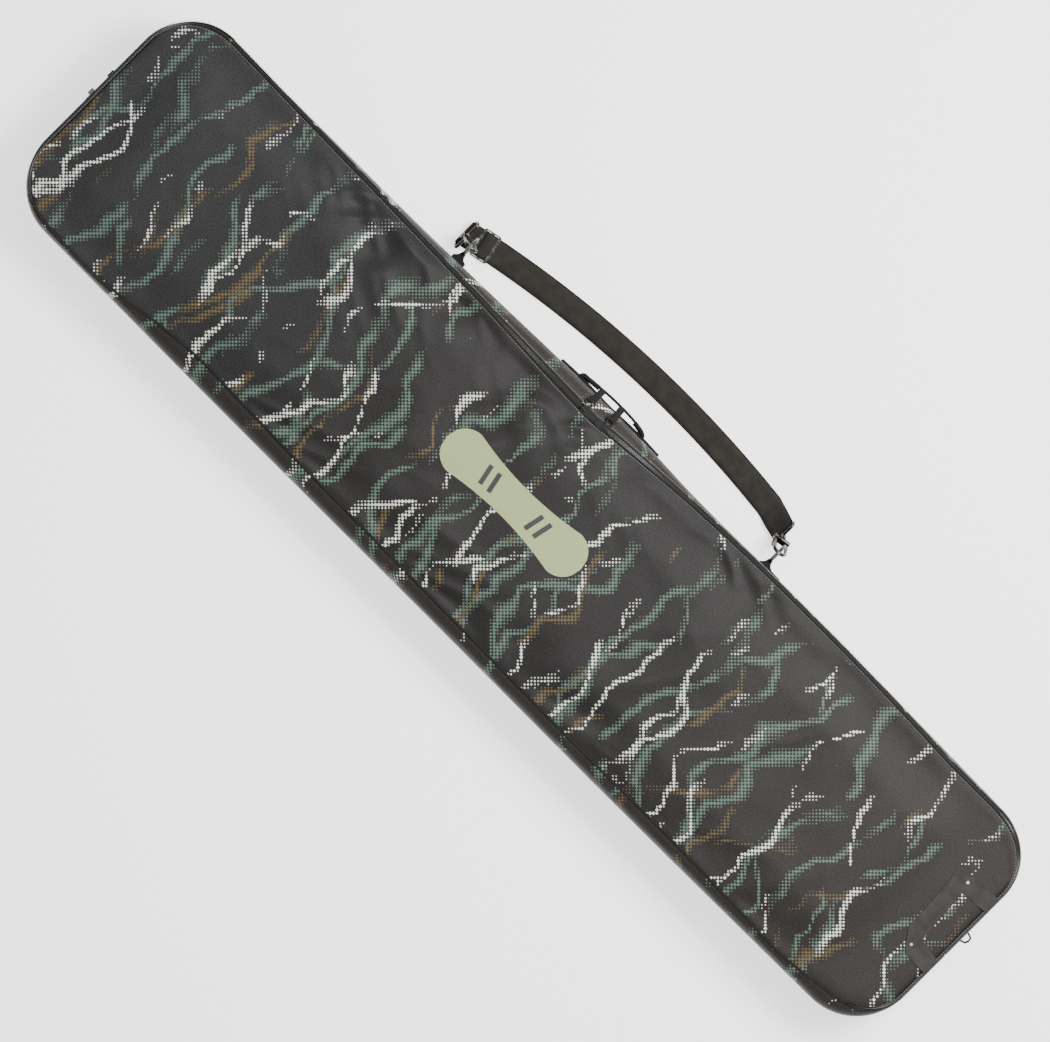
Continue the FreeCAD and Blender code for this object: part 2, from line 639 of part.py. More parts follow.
def gate():
    """Flattened bar that closes the mouth, with its knuckle round the pin."""
    whole_x, knuckle_y = (0, 2 * MOUTH_R), (-GATE_HALF, KNUCKLE_END)
    arm_end = PIVOT_Z - GATE_ROOT
    arm = rod(V(MOUTH_R, 0, GATE_START_Z), V(MOUTH_R, 0, arm_end), GATE_R)
    arm = arm.common(box(whole_x, (-GATE_HALF, GATE_HALF), (0, PIVOT_Z)))
    arm = arm.cut(box(whole_x, (KNUCKLE_END, GATE_HALF + OVERLAP), (BASE_Z0 - GATE_CLEAR, PIVOT_Z)))
    root_x, root_z = (MOUTH_R - GATE_R, MOUTH_R + GATE_R), (PIVOT_Z - KNUCKLE_ROOT, arm_end)
    knuckle = rod(V(MOUTH_R, knuckle_y[0], PIVOT_Z), V(MOUTH_R, knuckle_y[1], PIVOT_Z), KNUCKLE_R)
    reach = GATE_HALF + OVERLAP
    hole = rod(V(MOUTH_R, -reach, PIVOT_Z), V(MOUTH_R, reach, PIVOT_Z), PIN_R + RUNNING)
    return one_solid(joined(arm, box(root_x, knuckle_y, root_z), knuckle).cut(hole))


def strap_eye():
    """Rectangular eye for the webbing, in one piece with the post of the swivel."""
    corners = [V(0, -EYE_HALF, EYE_NEAR_Z), V(0, EYE_HALF, EYE_NEAR_Z),
               V(0, EYE_HALF, EYE_FAR_Z), V(0, -EYE_HALF, EYE_FAR_Z)]
    path = Part.Wire(rounded_edges(corners, [EYE_CORNER_R] * 4))
    loop = tube_along(path, RING_WIRE_R)
    post = rod(V(0, 0, sum(HEAD_Z) / 2), V(0, 0, EYE_NEAR_Z), POST_R)
    head = rod(V(0, 0, HEAD_Z[0]), V(0, 0, HEAD_Z[1]), HEAD_R)
    return joined(loop, post, head)


def hook_parts(end, frame):
    return {
        f"hook_{end}": put_hook(hook_body(), frame),
        f"gate_pin_{end}": put_hook(gate_pin(), frame),
        f"gate_spring_{end}": put_hook(gate_spring(), frame),
        f"gate_{end}": put_hook(gate(), frame),
        f"strap_eye_{end}": put_hook(strap_eye(), frame),
    }


# ---------------------------------------------------------------- shoulder strap
def strap_arc():
    """Centre and radius of the curve that the strap lies in."""
    circle = Part.Arc(STRAP_NOSE, STRAP_TOP, STRAP_TAIL).toShape().Curve
    return circle.Center, circle.Radius


def strap_point(x, offset=0.0):
    """Point of the strap's centreline at this x, moved across the strap."""
    centre, radius = strap_arc()
    out = V((x - centre.x) / radius, math.sqrt(1 - ((x - centre.x) / radius) ** 2), 0)
    return centre + out * (radius + offset), out


def strap_band():
    half = STRAP_W / 2
    corners = {}
    for side in (-1, 1):
        for name, x in (("nose", STRAP_NOSE.x), ("top", STRAP_TOP.x), ("tail", STRAP_TAIL.x)):
            corners[side, name] = strap_point(x, side * half)[0]
    wire = Part.Wire([
        Part.Arc(corners[1, "nose"], corners[1, "top"], corners[1, "tail"]).toShape(),
        Part.LineSegment(corners[1, "tail"], corners[-1, "tail"]).toShape(),
        Part.Arc(corners[-1, "tail"], corners[-1, "top"], corners[-1, "nose"]).toShape(),
        Part.LineSegment(corners[-1, "nose"], corners[1, "nose"]).toShape(),
    ])
    return plate(wire, (0, WEBBING))


def section(centre, across, through, half_w, half_t):
    """Rectangle of webbing seen end on."""
    a, t = across * half_w, through * half_t
    return polygon([centre - a - t, centre + a - t, centre + a + t, centre - a + t])


def strap_end(frame, x):
    """Doubled webbing from the end of the flat strap up to its loop round the bar of the eye."""
    origin, _, wire, shank = frame
    bar = origin + shank * EYE_FAR_Z
    flat, across = strap_point(x)
    flat = flat + V(0, 0, WEBBING / 2)
    towards = flat - bar
    towards = unit(towards - wire * towards.dot(wire))
    through = wire.cross(towards)
    if through.z < 0:
        through = through * -1
    half_w = STRAP_W / 2
    near_bar = section(bar + towards * EYE_START, wire, through, half_w, WEBBING)
    on_ground = section(flat, across, V(0, 0, 1), half_w, WEBBING / 2)
    twist = Part.makeLoft([near_bar, on_ground], True, True)
    side, past = wire * half_w, wire * (half_w + OVERLAP)
    loop = rod(bar - side, bar + side, RING_WIRE_R + RUNNING + WEBBING)
    hole = rod(bar - past, bar + past, RING_WIRE_R + RUNNING)
    return twist, loop, hole


def strap_webbing(frames):
    nose_twist, nose_loop, nose_hole = strap_end(frames["nose"], STRAP_NOSE.x)
    tail_twist, tail_loop, tail_hole = strap_end(frames["tail"], STRAP_TAIL.x)
    whole = joined(strap_band(), nose_twist, nose_loop, tail_twist, tail_loop)
    return one_solid(whole.cut(nose_hole).cut(tail_hole))


def adjuster():
    """Three-bar adjuster and the short stretch of webbing that is woven over its middle bar."""
    length, width, thick = ADJUSTER_SIZE
    side_gap, bar_gap = 0.3, 0.05
    inner = width / 2 - ADJUSTER_RIM
    z = (ADJUSTER_Z, ADJUSTER_Z + thick)
    outer = rounded_rectangle((-length / 2, length / 2), (-width / 2, width / 2), ADJUSTER_CORNER)
    frame = plate(outer, z)
    middle = length / 2 - ADJUSTER_BAR - ADJUSTER_WINDOW
    for side in (-1, 1):
        x = sorted((side * middle, side * (middle + ADJUSTER_WINDOW)))
        frame = frame.cut(box(x, (-inner, inner), (0, z[1] + OVERLAP)))
    half_w, half_l, top = STRAP_W / 2 - side_gap, middle + ADJUSTER_SKIN, z[1] + ADJUSTER_SKIN
    over = box((-half_l, half_l), (-half_w, half_w), (ADJUSTER_Z, top))
    tunnel = middle + bar_gap
    over = over.cut(box((-tunnel, tunnel), (-half_w, half_w), (0, z[1] + bar_gap)))
    parts = {"adjuster": one_solid(frame), "adjuster_webbing": one_solid(over)}
    point, out = strap_point(ADJUSTER_X)
    for shape in parts.values():
        shape.rotate(V(0, 0, 0), V(0, 0, 1), math.degrees(math.atan2(out.y, out.x)) - 90)
        shape.translate(point)
    return parts


# ---------------------------------------------------------------- small trim in the end seams
def seam_trim():
    """Webbing loops folded flat in the two end seams, and the woven label beside the nose loop."""
    end = BAG_LENGTH / 2
    trim_z, label_z = (HARDWARE_Z, HARDWARE_Z + TRIM_T), (HARDWARE_Z, HARDWARE_Z + LABEL_T)
    return {
        "tail_loop": box((end, end + TAIL_LOOP[0]), TAIL_LOOP[1], trim_z),
        "nose_loop": box((-end - NOSE_LOOP[0], -end), NOSE_LOOP[1], trim_z),
        "nose_label": box((-end - LABEL[0], -end), LABEL[1], label_z),
    }


def build():
    frames = {
        "nose": hook_frame(RING_NOSE_X, NOSE_TILT, NOSE_LEAN),
        "tail": hook_frame(RING_TAIL_X, TAIL_TILT, TAIL_LEAN),
    }
    parts = {}
    parts.update(back_layers())
    parts["back_piping"] = back_piping()
    parts.update(gusset_parts())
    parts.update(front_layers())
    parts["front_piping"] = front_piping()
    parts["front_emblem"] = front_emblem()
    parts.update(zip_parts())
    parts.update(slider_parts())
    parts.update(carry_handle())
    parts.update(haul_handle())
    parts["ring_tab_nose"] = ring_tab(RING_NOSE_X, TAB_NOSE_BASE)
    parts["ring_tab_tail"] = ring_tab(RING_TAIL_X, TAB_TAIL_BASE)
    parts["d_ring_nose"] = d_ring(RING_NOSE_X)
    parts["d_ring_tail"] = d_ring(RING_TAIL_X)
    for end, frame in frames.items():
        parts.update(hook_parts(end, frame))
    parts["strap_webbing"] = strap_webbing(frames)
    parts.update(adjuster())
    parts.update(seam_trim())
    return parts


os.makedirs("parts", exist_ok=True)
for node, shape in build().items():
    shape.exportStep(f"parts/{node}.step")
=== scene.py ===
import math

import bpy
import numpy as np
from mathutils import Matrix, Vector


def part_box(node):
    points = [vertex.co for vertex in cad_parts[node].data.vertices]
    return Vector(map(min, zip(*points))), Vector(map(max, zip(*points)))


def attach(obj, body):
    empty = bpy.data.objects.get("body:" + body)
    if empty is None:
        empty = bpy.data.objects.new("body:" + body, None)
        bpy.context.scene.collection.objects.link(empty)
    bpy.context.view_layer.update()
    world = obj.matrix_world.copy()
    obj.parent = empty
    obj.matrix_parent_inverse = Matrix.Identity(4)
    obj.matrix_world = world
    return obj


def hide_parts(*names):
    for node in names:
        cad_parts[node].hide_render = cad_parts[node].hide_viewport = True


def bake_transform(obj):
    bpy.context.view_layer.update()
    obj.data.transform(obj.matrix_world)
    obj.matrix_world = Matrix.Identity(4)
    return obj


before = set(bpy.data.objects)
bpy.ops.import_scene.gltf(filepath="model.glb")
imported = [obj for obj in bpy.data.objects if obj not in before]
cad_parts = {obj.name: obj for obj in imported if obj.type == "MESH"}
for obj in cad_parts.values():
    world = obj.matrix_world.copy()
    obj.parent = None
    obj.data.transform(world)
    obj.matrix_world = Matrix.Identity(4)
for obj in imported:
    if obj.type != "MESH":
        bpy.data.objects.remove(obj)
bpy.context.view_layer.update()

# Looks of the snowboard bag, in metres in the row frame: +X nose to tail, +Y to the zip, handle and strap.

# ---- stations round the bag ----
CORNER_X = 0.737              # where the straight sides end
END_TOP = 0.100               # straight part of each end
END_LOW = -0.092
SIDE_N = 380
CORNER_N = 30
END_N = 48
ROWS = 96                     # rows of the front cover, from hinge seam to zip

# ---- lines seen from above ----
OUTLINE_END = 0.825
PANEL_END = 0.8185
GUSSET_END = 0.8228
ZIP_HALF = 0.005
ZIP_COVER = 0.0038            # how far the cover's edge lies over the zip tape away from the sliders
ZIP_BARE_X = -0.06
ZIP_BARE = 0.15
SEAM_STEP = 0.0012            # between cover and gusset at the hinge seam
ZIP_LOW_X = -0.028
ZIP_LOW_Y = 0.1645
ZIP_NOSE_SLOPE = -0.01911
ZIP_TAIL_R = 5.0
ZIP_TAIL_CENTRE = (0.384, -4.8185)
ZIP_TAIL_FLAT_X = 0.640
STRAP_SIDE = [(-0.737, 0.1815), (-0.56, 0.1832), (-0.40, 0.1838), (-0.30, 0.1855), (-0.20, 0.188),
              (-0.117, 0.1902), (0.069, 0.1902), (0.13, 0.1878), (0.30, 0.188),
              (0.56, 0.186), (0.737, 0.183)]
HINGE_SIDE = [(-0.737, -0.183), (-0.40, -0.1848), (0.0, -0.1845), (0.40, -0.185), (0.737, -0.1825)]
HINGE_SEAM = [(-0.737, -0.173), (-0.654, -0.176), (-0.601, -0.171), (-0.532, -0.161), (-0.462, -0.1555),
              (-0.392, -0.157), (-0.299, -0.159), (0.0, -0.162), (0.288, -0.165), (0.431, -0.164),
              (0.573, -0.1665), (0.68, -0.168), (0.737, -0.160)]

# ---- heights ----
EDGE_Z = 0.1216
PANEL_END_Z = 0.1188
GUSSET_END_Z = 0.1095
ROLL_DROP = 0.022
END_ROLL_DROP = 0.010
FOOT_Z = 0.006
CROWN = 0.0080
CROWN_RUN = 0.070
CROWN_X = (-0.785, 0.735)
CROWN_Y = (-0.158, 0.152)
LINING_Z = 0.1142
FLOOR_Z = 0.0086
WALL = 0.008
PIPING_R = 0.0024
FRONT_PIPING_R = 0.0017
GUSSET_SINK = 0.0045          # how far the gusset's zip edge lies below the cover's away from the sliders

# ---- folds of the cover; a place is strength, x and width ----
PULL_PLACES = [(1.3, -0.34, 0.10), (1.0, -0.05, 0.13), (0.9, 0.27, 0.09), (0.5, -0.46, 0.10)]
SLACK_PLACES = [(0.8, 0.1, 0.3), (0.4, -0.35, 0.12)]
SLACK_EVERYWHERE = 0.35
PULL_REACH = 0.055            # how far the folds run in from the zip
SLACK_REACH = 0.05            # and from the hinge seam
COVER_FOLDS = [               # region, height, angle, length, width, seed
    ("pull", 0.0082, 0.75, 0.10, 0.034, 11),
    ("pull", 0.0042, -0.5, 0.08, 0.026, 12),
    ("slack", 0.0058, 0.35, 0.12, 0.030, 13),
    ("broad", 0.0020, 1.0, 0.16, 0.06, 14),
]
PUCKER = 0.0008
PUCKER_REACH = 0.012

# ---- the cloth's print: colour, place, spacing and half-width of the lines, and how scarce they are ----
DOT_PITCH = 0.0046
MINT = (0.098, 0.150, 0.120)
OCHRE = (0.120, 0.088, 0.040)
WHITE = (0.72, 0.73, 0.66)
PRINT = [
    (MINT, (0.0, 0.0, 0.0), 0.085, 0.0100, 0.45),
    (MINT, (0.37, 0.8, 0.2), 0.110, 0.0085, 0.47),
    (OCHRE, (0.051, 0.4, 0.3), 0.130, 0.0080, 0.53),
    (OCHRE, (0.71, 0.1, 0.6), 0.160, 0.0075, 0.54),
    (WHITE, (0.93, 0.2, 0.7), 0.120, 0.0060, 0.51),
    (WHITE, (0.22, 0.6, 0.4), 0.150, 0.0066, 0.53),
    (WHITE, (0.45, 0.9, 0.1), 0.130, 0.0045, 0.53),
]
SWAY_SLOW = 0.24
SWAY_QUICK = 0.060
# cloth tone along the bag: the nose's lighter tone is a painted sheen; the cool nose and warm tail tints are
# the cloth's own colour
CLOTH_NOSE_TINT_AND_SHEEN = (0.034, 0.034, 0.036)
CLOTH_MIDDLE = (0.023, 0.0215, 0.021)
CLOTH_TAIL = (0.029, 0.0245, 0.0225)
CLOTH_MOTTLE = (0.020, 0.019, 0.018)
SELVAGE = (0.010, 0.010, 0.010)
DULL_NICKEL = (0.075, 0.073, 0.072)
RUBBED_NICKEL = (0.14, 0.137, 0.134)

# ---- zip ----
TOOTH_PITCH = 0.0018
TOOTH_SIZE = (0.0009, 0.0016)  # along the zip and in height
TOOTH_SHARE = 0.3             # of the strip's width
TOOTH_LIFT = -0.0002
STITCH_PITCH = 0.0042
STITCH_LIFT = 0.0008
STITCH = (0.0006, 0.0030, 0.0005)

# ---- emblem ----
EMBLEM_CENTRE = (-0.025, 0.008)
EMBLEM_HALF = 0.128
EMBLEM_TIP = 0.034
EMBLEM_WAIST = 0.025
EMBLEM_ROUND = 0.74           # share of the half length before the rounded tip
EMBLEM_COLUMNS = 81
EMBLEM_ROWS = 25
BINDING_X = 0.046
BINDING_GAP = 0.008
BINDING_TURN = math.radians(12)

# ---- studio ----
FLOOR_GLOW = 1.6
FLOOR_HALF = 9
WORLD_LIGHT = 0.42
KEY_PLACE = (0.8, 1.4, 2.8)
KEY_SIZE = 1.3
KEY_POWER = 175.0
LENS = 200.0
SENSOR = 36.0
CAMERA_PLACE = (0.003, 0.001, 8.036)
CAMERA_TURN = math.radians(45)

# ---- hardware, as in the CAD ----
HARDWARE_Z = 0.072
RING_BAR_Y = 0.199
RING_ARC_Y = 0.211
RING_R = 0.016
RING_X = {"nose": -0.314, "tail": 0.278}
HOOK_TILT = {"nose": math.radians(11.7), "tail": math.radians(28.9)}
HOOK_LEAN = {"nose": math.radians(23.6), "tail": math.radians(15.6)}
EYE_BAR = 0.050
STRAP_CENTRE = (0.035689, -1.435613)
STRAP_R = 1.700034
STRAP_ENDS = (-0.319, 0.228)
STRAP_W = 0.038
WEBBING = 0.0016
TAB_W = 0.025
RIB_PITCH = 0.0014
TAB_ROOT_Y = 0.1830           # inside the wall, so that the tab meets the cloth
TAB_FOLD_R = 0.0033
BASE_X = (-0.117, 0.069)      # strip under the carry handle
BASE_Y = 0.1918
BASE_T = 0.0060
BASE_WAVE = 0.0007
GRIP = [(-0.085, 0.1950), (-0.082, 0.1982), (-0.072, 0.2000), (-0.055, 0.2018), (-0.040, 0.2032),
        (-0.010, 0.2038), (0.010, 0.2030), (0.022, 0.2012), (0.031, 0.1990), (0.037, 0.1950)]
GRIP_T = 0.0034
GRIP_STEPS = 44
GRIP_FOLDS = (("nose", -0.083, -0.053), ("tail", 0.014, 0.035))
GRIP_FOLD_T = 0.0068
GRIP_FOLD_STEPS = 12
HAUL_LEG_STRAP = [(0.8215, 0.092), (0.775, 0.0905), (0.764, 0.081), (0.781, 0.064), (0.8215, 0.067)]
HAUL_LEG_HINGE = [(0.8215, -0.0505), (0.782, -0.049), (0.771, -0.036), (0.786, -0.020), (0.8215, -0.0255)]
HAUL_BAR = [(0.754, 0.073), (0.775, 0.0905), (0.7795, 0.0655), (0.786, -0.0215), (0.782, -0.049),
            (0.761, -0.022)]
HAUL_LIFT = 0.0006
HAUL_BAR_LIFT = 0.0010        # of the bar above the legs
HAUL_T = 0.0014
ADJUSTER_X = -0.303
HUMP_REACH = 0.0105
HUMP_LIFT = 0.0020
HUMP_H = 0.0042
HUMP_T = 0.0014
TAIL_LOOP = [(0.8235, 0.018), (0.829, 0.0165), (0.8345, 0.0185), (0.8368, 0.0235), (0.8355, 0.0285),
             (0.830, 0.0305), (0.8235, 0.0315)]
TAIL_LOOP_R = 0.0015
NOSE_LOOP = [(-0.8235, 0.033, 0.0735), (-0.827, 0.033, 0.0738), (-0.8302, 0.033, 0.0735)]
LABEL_LINE = [(-0.8285, -0.003, 0.0726), (-0.8308, -0.003, 0.0727), (-0.833, -0.003, 0.0726)]
LABEL_BASE = [(-0.8235, -0.007, 0.0726), (-0.8262, -0.007, 0.0727), (-0.8287, -0.007, 0.0726)]
PULL_TAIL_WAY = (-0.0798, 0.9968, 0)
PULL_W = 0.0100
PULL_RIB_STEP = 0.0026
PULL_RIB = (0.0086, 0.0011, 0.0007)


# ---------------------------------------------------------------- numbers
def curve_through(x, knots):
    """Smooth line through the knots."""
    xs, ys = np.array(knots).T
    slopes = np.gradient(ys, xs)
    i = np.clip(np.searchsorted(xs, x) - 1, 0, len(xs) - 2)
    h = xs[i + 1] - xs[i]
    t = np.clip((x - xs[i]) / h, 0, 1)
    start = (1 + 2 * t) * (1 - t) ** 2 * ys[i] + t * (1 - t) ** 2 * h * slopes[i]
    end = t * t * (3 - 2 * t) * ys[i + 1] + t * t * (t - 1) * h * slopes[i + 1]
    return start + end


def bell(x, centre, width):
    return np.exp(-((x - centre) / width) ** 2)


def smooth(t):
    t = np.clip(t, 0, 1)
    return t * t * (3 - 2 * t)


def noise(x, y, cell, seed):
    """Smooth random height from -1 to 1 on a square lattice."""
    table = np.random.default_rng(seed).uniform(-1, 1, (128, 128))
    u, v = x / cell + 61.3, y / cell + 47.7
    i, j = np.floor(u).astype(int), np.floor(v).astype(int)
    fu, fv = smooth(u - i), smooth(v - j)
    low = table[i % 128, j % 128] * (1 - fu) + table[(i + 1) % 128, j % 128] * fu
    high = table[i % 128, (j + 1) % 128] * (1 - fu) + table[(i + 1) % 128, (j + 1) % 128] * fu
    return low * (1 - fv) + high * fv


def folds(x, y, angle, length, width, seed):
    """Ridges about this long and this far apart, running at an angle to X."""
    c, s = math.cos(angle), math.sin(angle)
    along, across = x * c + y * s, -x * s + y * c
    wave = noise(along / length, across / width, 1.0, seed)
    return 1 - 2.2 * np.sqrt(wave ** 2 + 0.015)


def unit(v):
    return v / np.maximum(np.linalg.norm(v, axis=-1, keepdims=True), 1e-9)


def zip_y(x):
    x = np.asarray(x, float)
    nose = ZIP_LOW_Y + (x - ZIP_LOW_X) * ZIP_NOSE_SLOPE
    flat = np.minimum(x, ZIP_TAIL_FLAT_X)
    tail = ZIP_TAIL_CENTRE[1] + np.sqrt(ZIP_TAIL_R ** 2 - (flat - ZIP_TAIL_CENTRE[0]) ** 2)
    return np.where(x < ZIP_LOW_X, nose, tail)


def cover_strap_y(x):
    """The cover's edge beside the zip; away from the sliders it lies over the tape."""
    return zip_y(x) - ZIP_HALF + ZIP_COVER * (1 - bell(x, ZIP_BARE_X, ZIP_BARE))


def seam_y(x):
    return curve_through(np.asarray(x, float), HINGE_SEAM)


def strap_side_y(x):
    return curve_through(np.asarray(x, float), STRAP_SIDE)


def hinge_side_y(x):
    return curve_through(np.asarray(x, float), HINGE_SIDE)


# ---------------------------------------------------------------- closed lines round the bag
SIDE_X = np.linspace(-CORNER_X, CORNER_X, SIDE_N, endpoint=False)
TURN = np.linspace(0, math.pi / 2, CORNER_N, endpoint=False)
END_Y = np.linspace(END_TOP, END_LOW, END_N, endpoint=False)


def loop(strap_y, hinge_y, end_x):
    """Closed line round the bag, seen from above, at the same stations whatever its offset."""
    reach = end_x - CORNER_X
    strap = {side: strap_y(side * CORNER_X) - END_TOP for side in (-1, 1)}
    hinge = {side: hinge_y(side * CORNER_X) - END_LOW for side in (-1, 1)}
    back_up = END_TOP + END_LOW - END_Y
    sections = [
        (SIDE_X, strap_y(SIDE_X)),
        (CORNER_X + reach * np.sin(TURN), END_TOP + strap[1] * np.cos(TURN)),
        (np.full(END_N, end_x), END_Y),
        (CORNER_X + reach * np.cos(TURN), END_LOW + hinge[1] * np.sin(TURN)),
        (-SIDE_X, hinge_y(-SIDE_X)),
        (-CORNER_X - reach * np.sin(TURN), END_LOW + hinge[-1] * np.cos(TURN)),
        (np.full(END_N, -end_x), back_up),
        (-CORNER_X - reach * np.cos(TURN), END_TOP + strap[-1] * np.sin(TURN)),
    ]
    return np.concatenate([np.stack(section, 1) for section in sections])


def share(strap, end, hinge):
    """A value for every station: one each for the strap side, the ends and the hinge side."""
    t = smooth(TURN / (math.pi / 2))
    return np.concatenate([
        np.full(SIDE_N, strap), strap + (end - strap) * t, np.full(END_N, end), end + (hinge - end) * t,
        np.full(SIDE_N, hinge), hinge + (end - hinge) * t, np.full(END_N, end), end + (strap - end) * t,
    ])


def with_height(line, z):
    return np.column_stack([line, z])


def around(points):
    """Unit direction of travel at each point of a closed line."""
    return unit(np.roll(points, -1, axis=0) - np.roll(points, 1, axis=0))


OUTLINE = loop(strap_side_y, hinge_side_y, OUTLINE_END)
TRAVEL = around(OUTLINE)
OUTWARD = np.column_stack([-TRAVEL[:, 1], TRAVEL[:, 0]])
LENGTH_AROUND = np.concatenate([[0], np.cumsum(np.linalg.norm(np.diff(OUTLINE, axis=0), axis=1))])
PANEL_EDGE = with_height(
    loop(cover_strap_y, seam_y, PANEL_END), share(EDGE_Z, PANEL_END_Z, EDGE_Z)
)
GUSSET_EDGE = with_height(
    loop(lambda x: zip_y(x) + ZIP_HALF, lambda x: seam_y(x) - SEAM_STEP, GUSSET_END),
    share(EDGE_Z, GUSSET_END_Z, EDGE_Z),
)
GUSSET_EDGE[:SIDE_N, 2] -= GUSSET_SINK * (1 - bell(SIDE_X, ZIP_BARE_X, ZIP_BARE))
HINGE_FIRST = SIDE_N + 2 * CORNER_N + END_N
HINGE_LAST = HINGE_FIRST + SIDE_N


# ---------------------------------------------------------------- meshes
def mesh_object(name, points, faces, uv=None, smooth_faces=True):
    mesh = bpy.data.meshes.new(name)
    mesh.from_pydata(np.asarray(points, float).tolist(), [], np.asarray(faces).tolist())
    if uv is not None:
        corners = np.zeros(len(mesh.loops), int)
        mesh.loops.foreach_get("vertex_index", corners)
        layer = mesh.uv_layers.new(name="UVMap")
        layer.data.foreach_set("uv", np.asarray(uv, float)[corners].ravel())
    mesh.polygons.foreach_set("use_smooth", [smooth_faces] * len(mesh.polygons))
    mesh.update()
    made = bpy.data.objects.new(name, mesh)
    bpy.context.scene.collection.objects.link(made)
    return made


def grid_faces(rows, columns, closed_columns=False, closed_rows=False):
    """Quads of a grid whose points are stored row by row."""
    row_count = rows if closed_rows else rows - 1
    column_count = columns if closed_columns else columns - 1
    r, c = np.meshgrid(np.arange(row_count), np.arange(column_count), indexing="ij")
    r, c = r.ravel(), c.ravel()
    r1, c1 = (r + 1) % rows, (c + 1) % columns
    return np.stack([r * columns + c, r * columns + c1, r1 * columns + c1, r1 * columns + c], 1)


def sheet_object(name, surface, uv, flip=False, closed=False):
    """surface is rows x columns x 3."""
    rows, columns = surface.shape[:2]
    faces = grid_faces(rows, columns, closed_columns=closed)
    if flip:
        faces = faces[:, ::-1]
    return mesh_object(name, surface.reshape(-1, 3), faces, uv.reshape(-1, 2))


def path_length(points):
    return np.concatenate([[0], np.cumsum(np.linalg.norm(np.diff(points, axis=0), axis=1))])


def tube(name, points, radius, closed=False, sides=10, up=(0, 0, 1)):
    """Round cord along a line."""
    points = np.asarray(points, float)
    along = around(points) if closed else unit(np.gradient(points, axis=0))
    side = unit(np.cross(along, up))
    top = np.cross(side, along)
    radius = np.broadcast_to(radius, len(points))[:, None]
    rings = []
    for a in np.linspace(0, 2 * math.pi, sides, endpoint=False):
        rings.append(points + radius * (side * math.cos(a) + top * math.sin(a)))
    surface = np.stack(rings, 1)
    lengths = path_length(points)
    uv = np.stack(np.broadcast_arrays(lengths[:, None], np.linspace(0, 1, sides)[None, :]), -1)
    faces = grid_faces(len(points), sides, closed_columns=True, closed_rows=closed)
    return mesh_object(name, surface.reshape(-1, 3), faces, uv.reshape(-1, 2))


def ribbon(name, points, across, width, thick, closed=False):
    """Flat webbing along a line; across is the direction of its width at each point."""
    points = np.asarray(points, float)
    across = unit(np.broadcast_to(np.asarray(across, float), points.shape))
    along = around(points) if closed else unit(np.gradient(points, axis=0))
    normal = unit(np.cross(along, across))
    half, edge = width / 2, thick * 0.35
    inner = half - edge
    section = [(-half, 0), (-inner, thick / 2), (-inner * 0.6, thick / 2), (0, thick / 2),
               (inner * 0.6, thick / 2), (inner, thick / 2), (half, 0), (inner, -thick / 2),
               (inner * 0.6, -thick / 2), (0, -thick / 2), (-inner * 0.6, -thick / 2), (-inner, -thick / 2)]
    surface = np.stack([points + a * across + n * normal for a, n in section], 1)
    count, sides = len(points), len(section)
    offsets = np.array([a for a, _ in section])
    uv = np.stack(np.broadcast_arrays(offsets[None, :], path_length(points)[:, None]), -1)
    faces = grid_faces(count, sides, closed_columns=True, closed_rows=closed).tolist()
    if not closed:
        faces.append(list(range(sides)))
        faces.append([(count - 1) * sides + k for k in reversed(range(sides))])
    vertices = surface.reshape(-1, 3)
    mesh = bpy.data.meshes.new(name)
    mesh.from_pydata(vertices.tolist(), [], faces)
    corners = np.zeros(len(mesh.loops), int)
    mesh.loops.foreach_get("vertex_index", corners)
    mesh.uv_layers.new(name="UVMap").data.foreach_set("uv", uv.reshape(-1, 2)[corners].ravel())
    mesh.polygons.foreach_set("use_smooth", [len(face) == 4 for face in faces])
    made = bpy.data.objects.new(name, mesh)
    bpy.context.scene.collection.objects.link(made)
    return made


def slab(name, outline, z0, z1):
    """Flat shape with straight sides; outline in metres seen from above."""
    count = len(outline)
    points = [(x, y, z1) for x, y in outline] + [(x, y, z0) for x, y in outline]
    faces = [list(range(count)), [2 * count - 1 - k for k in range(count)]]
    faces += [[k, k + count, (k + 1) % count + count, (k + 1) % count] for k in range(count)]
    mesh = bpy.data.meshes.new(name)
    mesh.from_pydata(points, [], faces)
    layer = mesh.uv_layers.new(name="UVMap")
    for corner in mesh.loops:
        x, y, _ = points[corner.vertex_index]
        layer.data[corner.index].uv = (x, y)
    made = bpy.data.objects.new(name, mesh)
    bpy.context.scene.collection.objects.link(made)
    bevel = made.modifiers.new("edge", "BEVEL")
    bevel.width = 0.0004
    bevel.segments = 2
    return made


def blocks(name, centres, axes, size):
    """Many small blocks in one mesh; axes is three arrays of unit directions."""
    ring = [(-1, -1), (1, -1), (1, 1), (-1, 1)]
    corners = [(*corner, level) for level in (-1, 1) for corner in ring]
    sides = [(0, 3, 2, 1), (4, 5, 6, 7), (0, 1, 5, 4), (1, 2, 6, 5), (2, 3, 7, 6), (3, 0, 4, 7)]
    points = np.stack([
        centres + sum(sign * size[k] / 2 * axes[k] for k, sign in enumerate(corner)) for corner in corners
    ], 1)
    starts = np.arange(len(centres))[:, None, None] * len(corners)
    faces = (np.array(sides)[None] + starts).reshape(-1, 4)
    return mesh_object(name, points.reshape(-1, 3), faces, np.zeros((len(points) * len(corners), 2)), False)


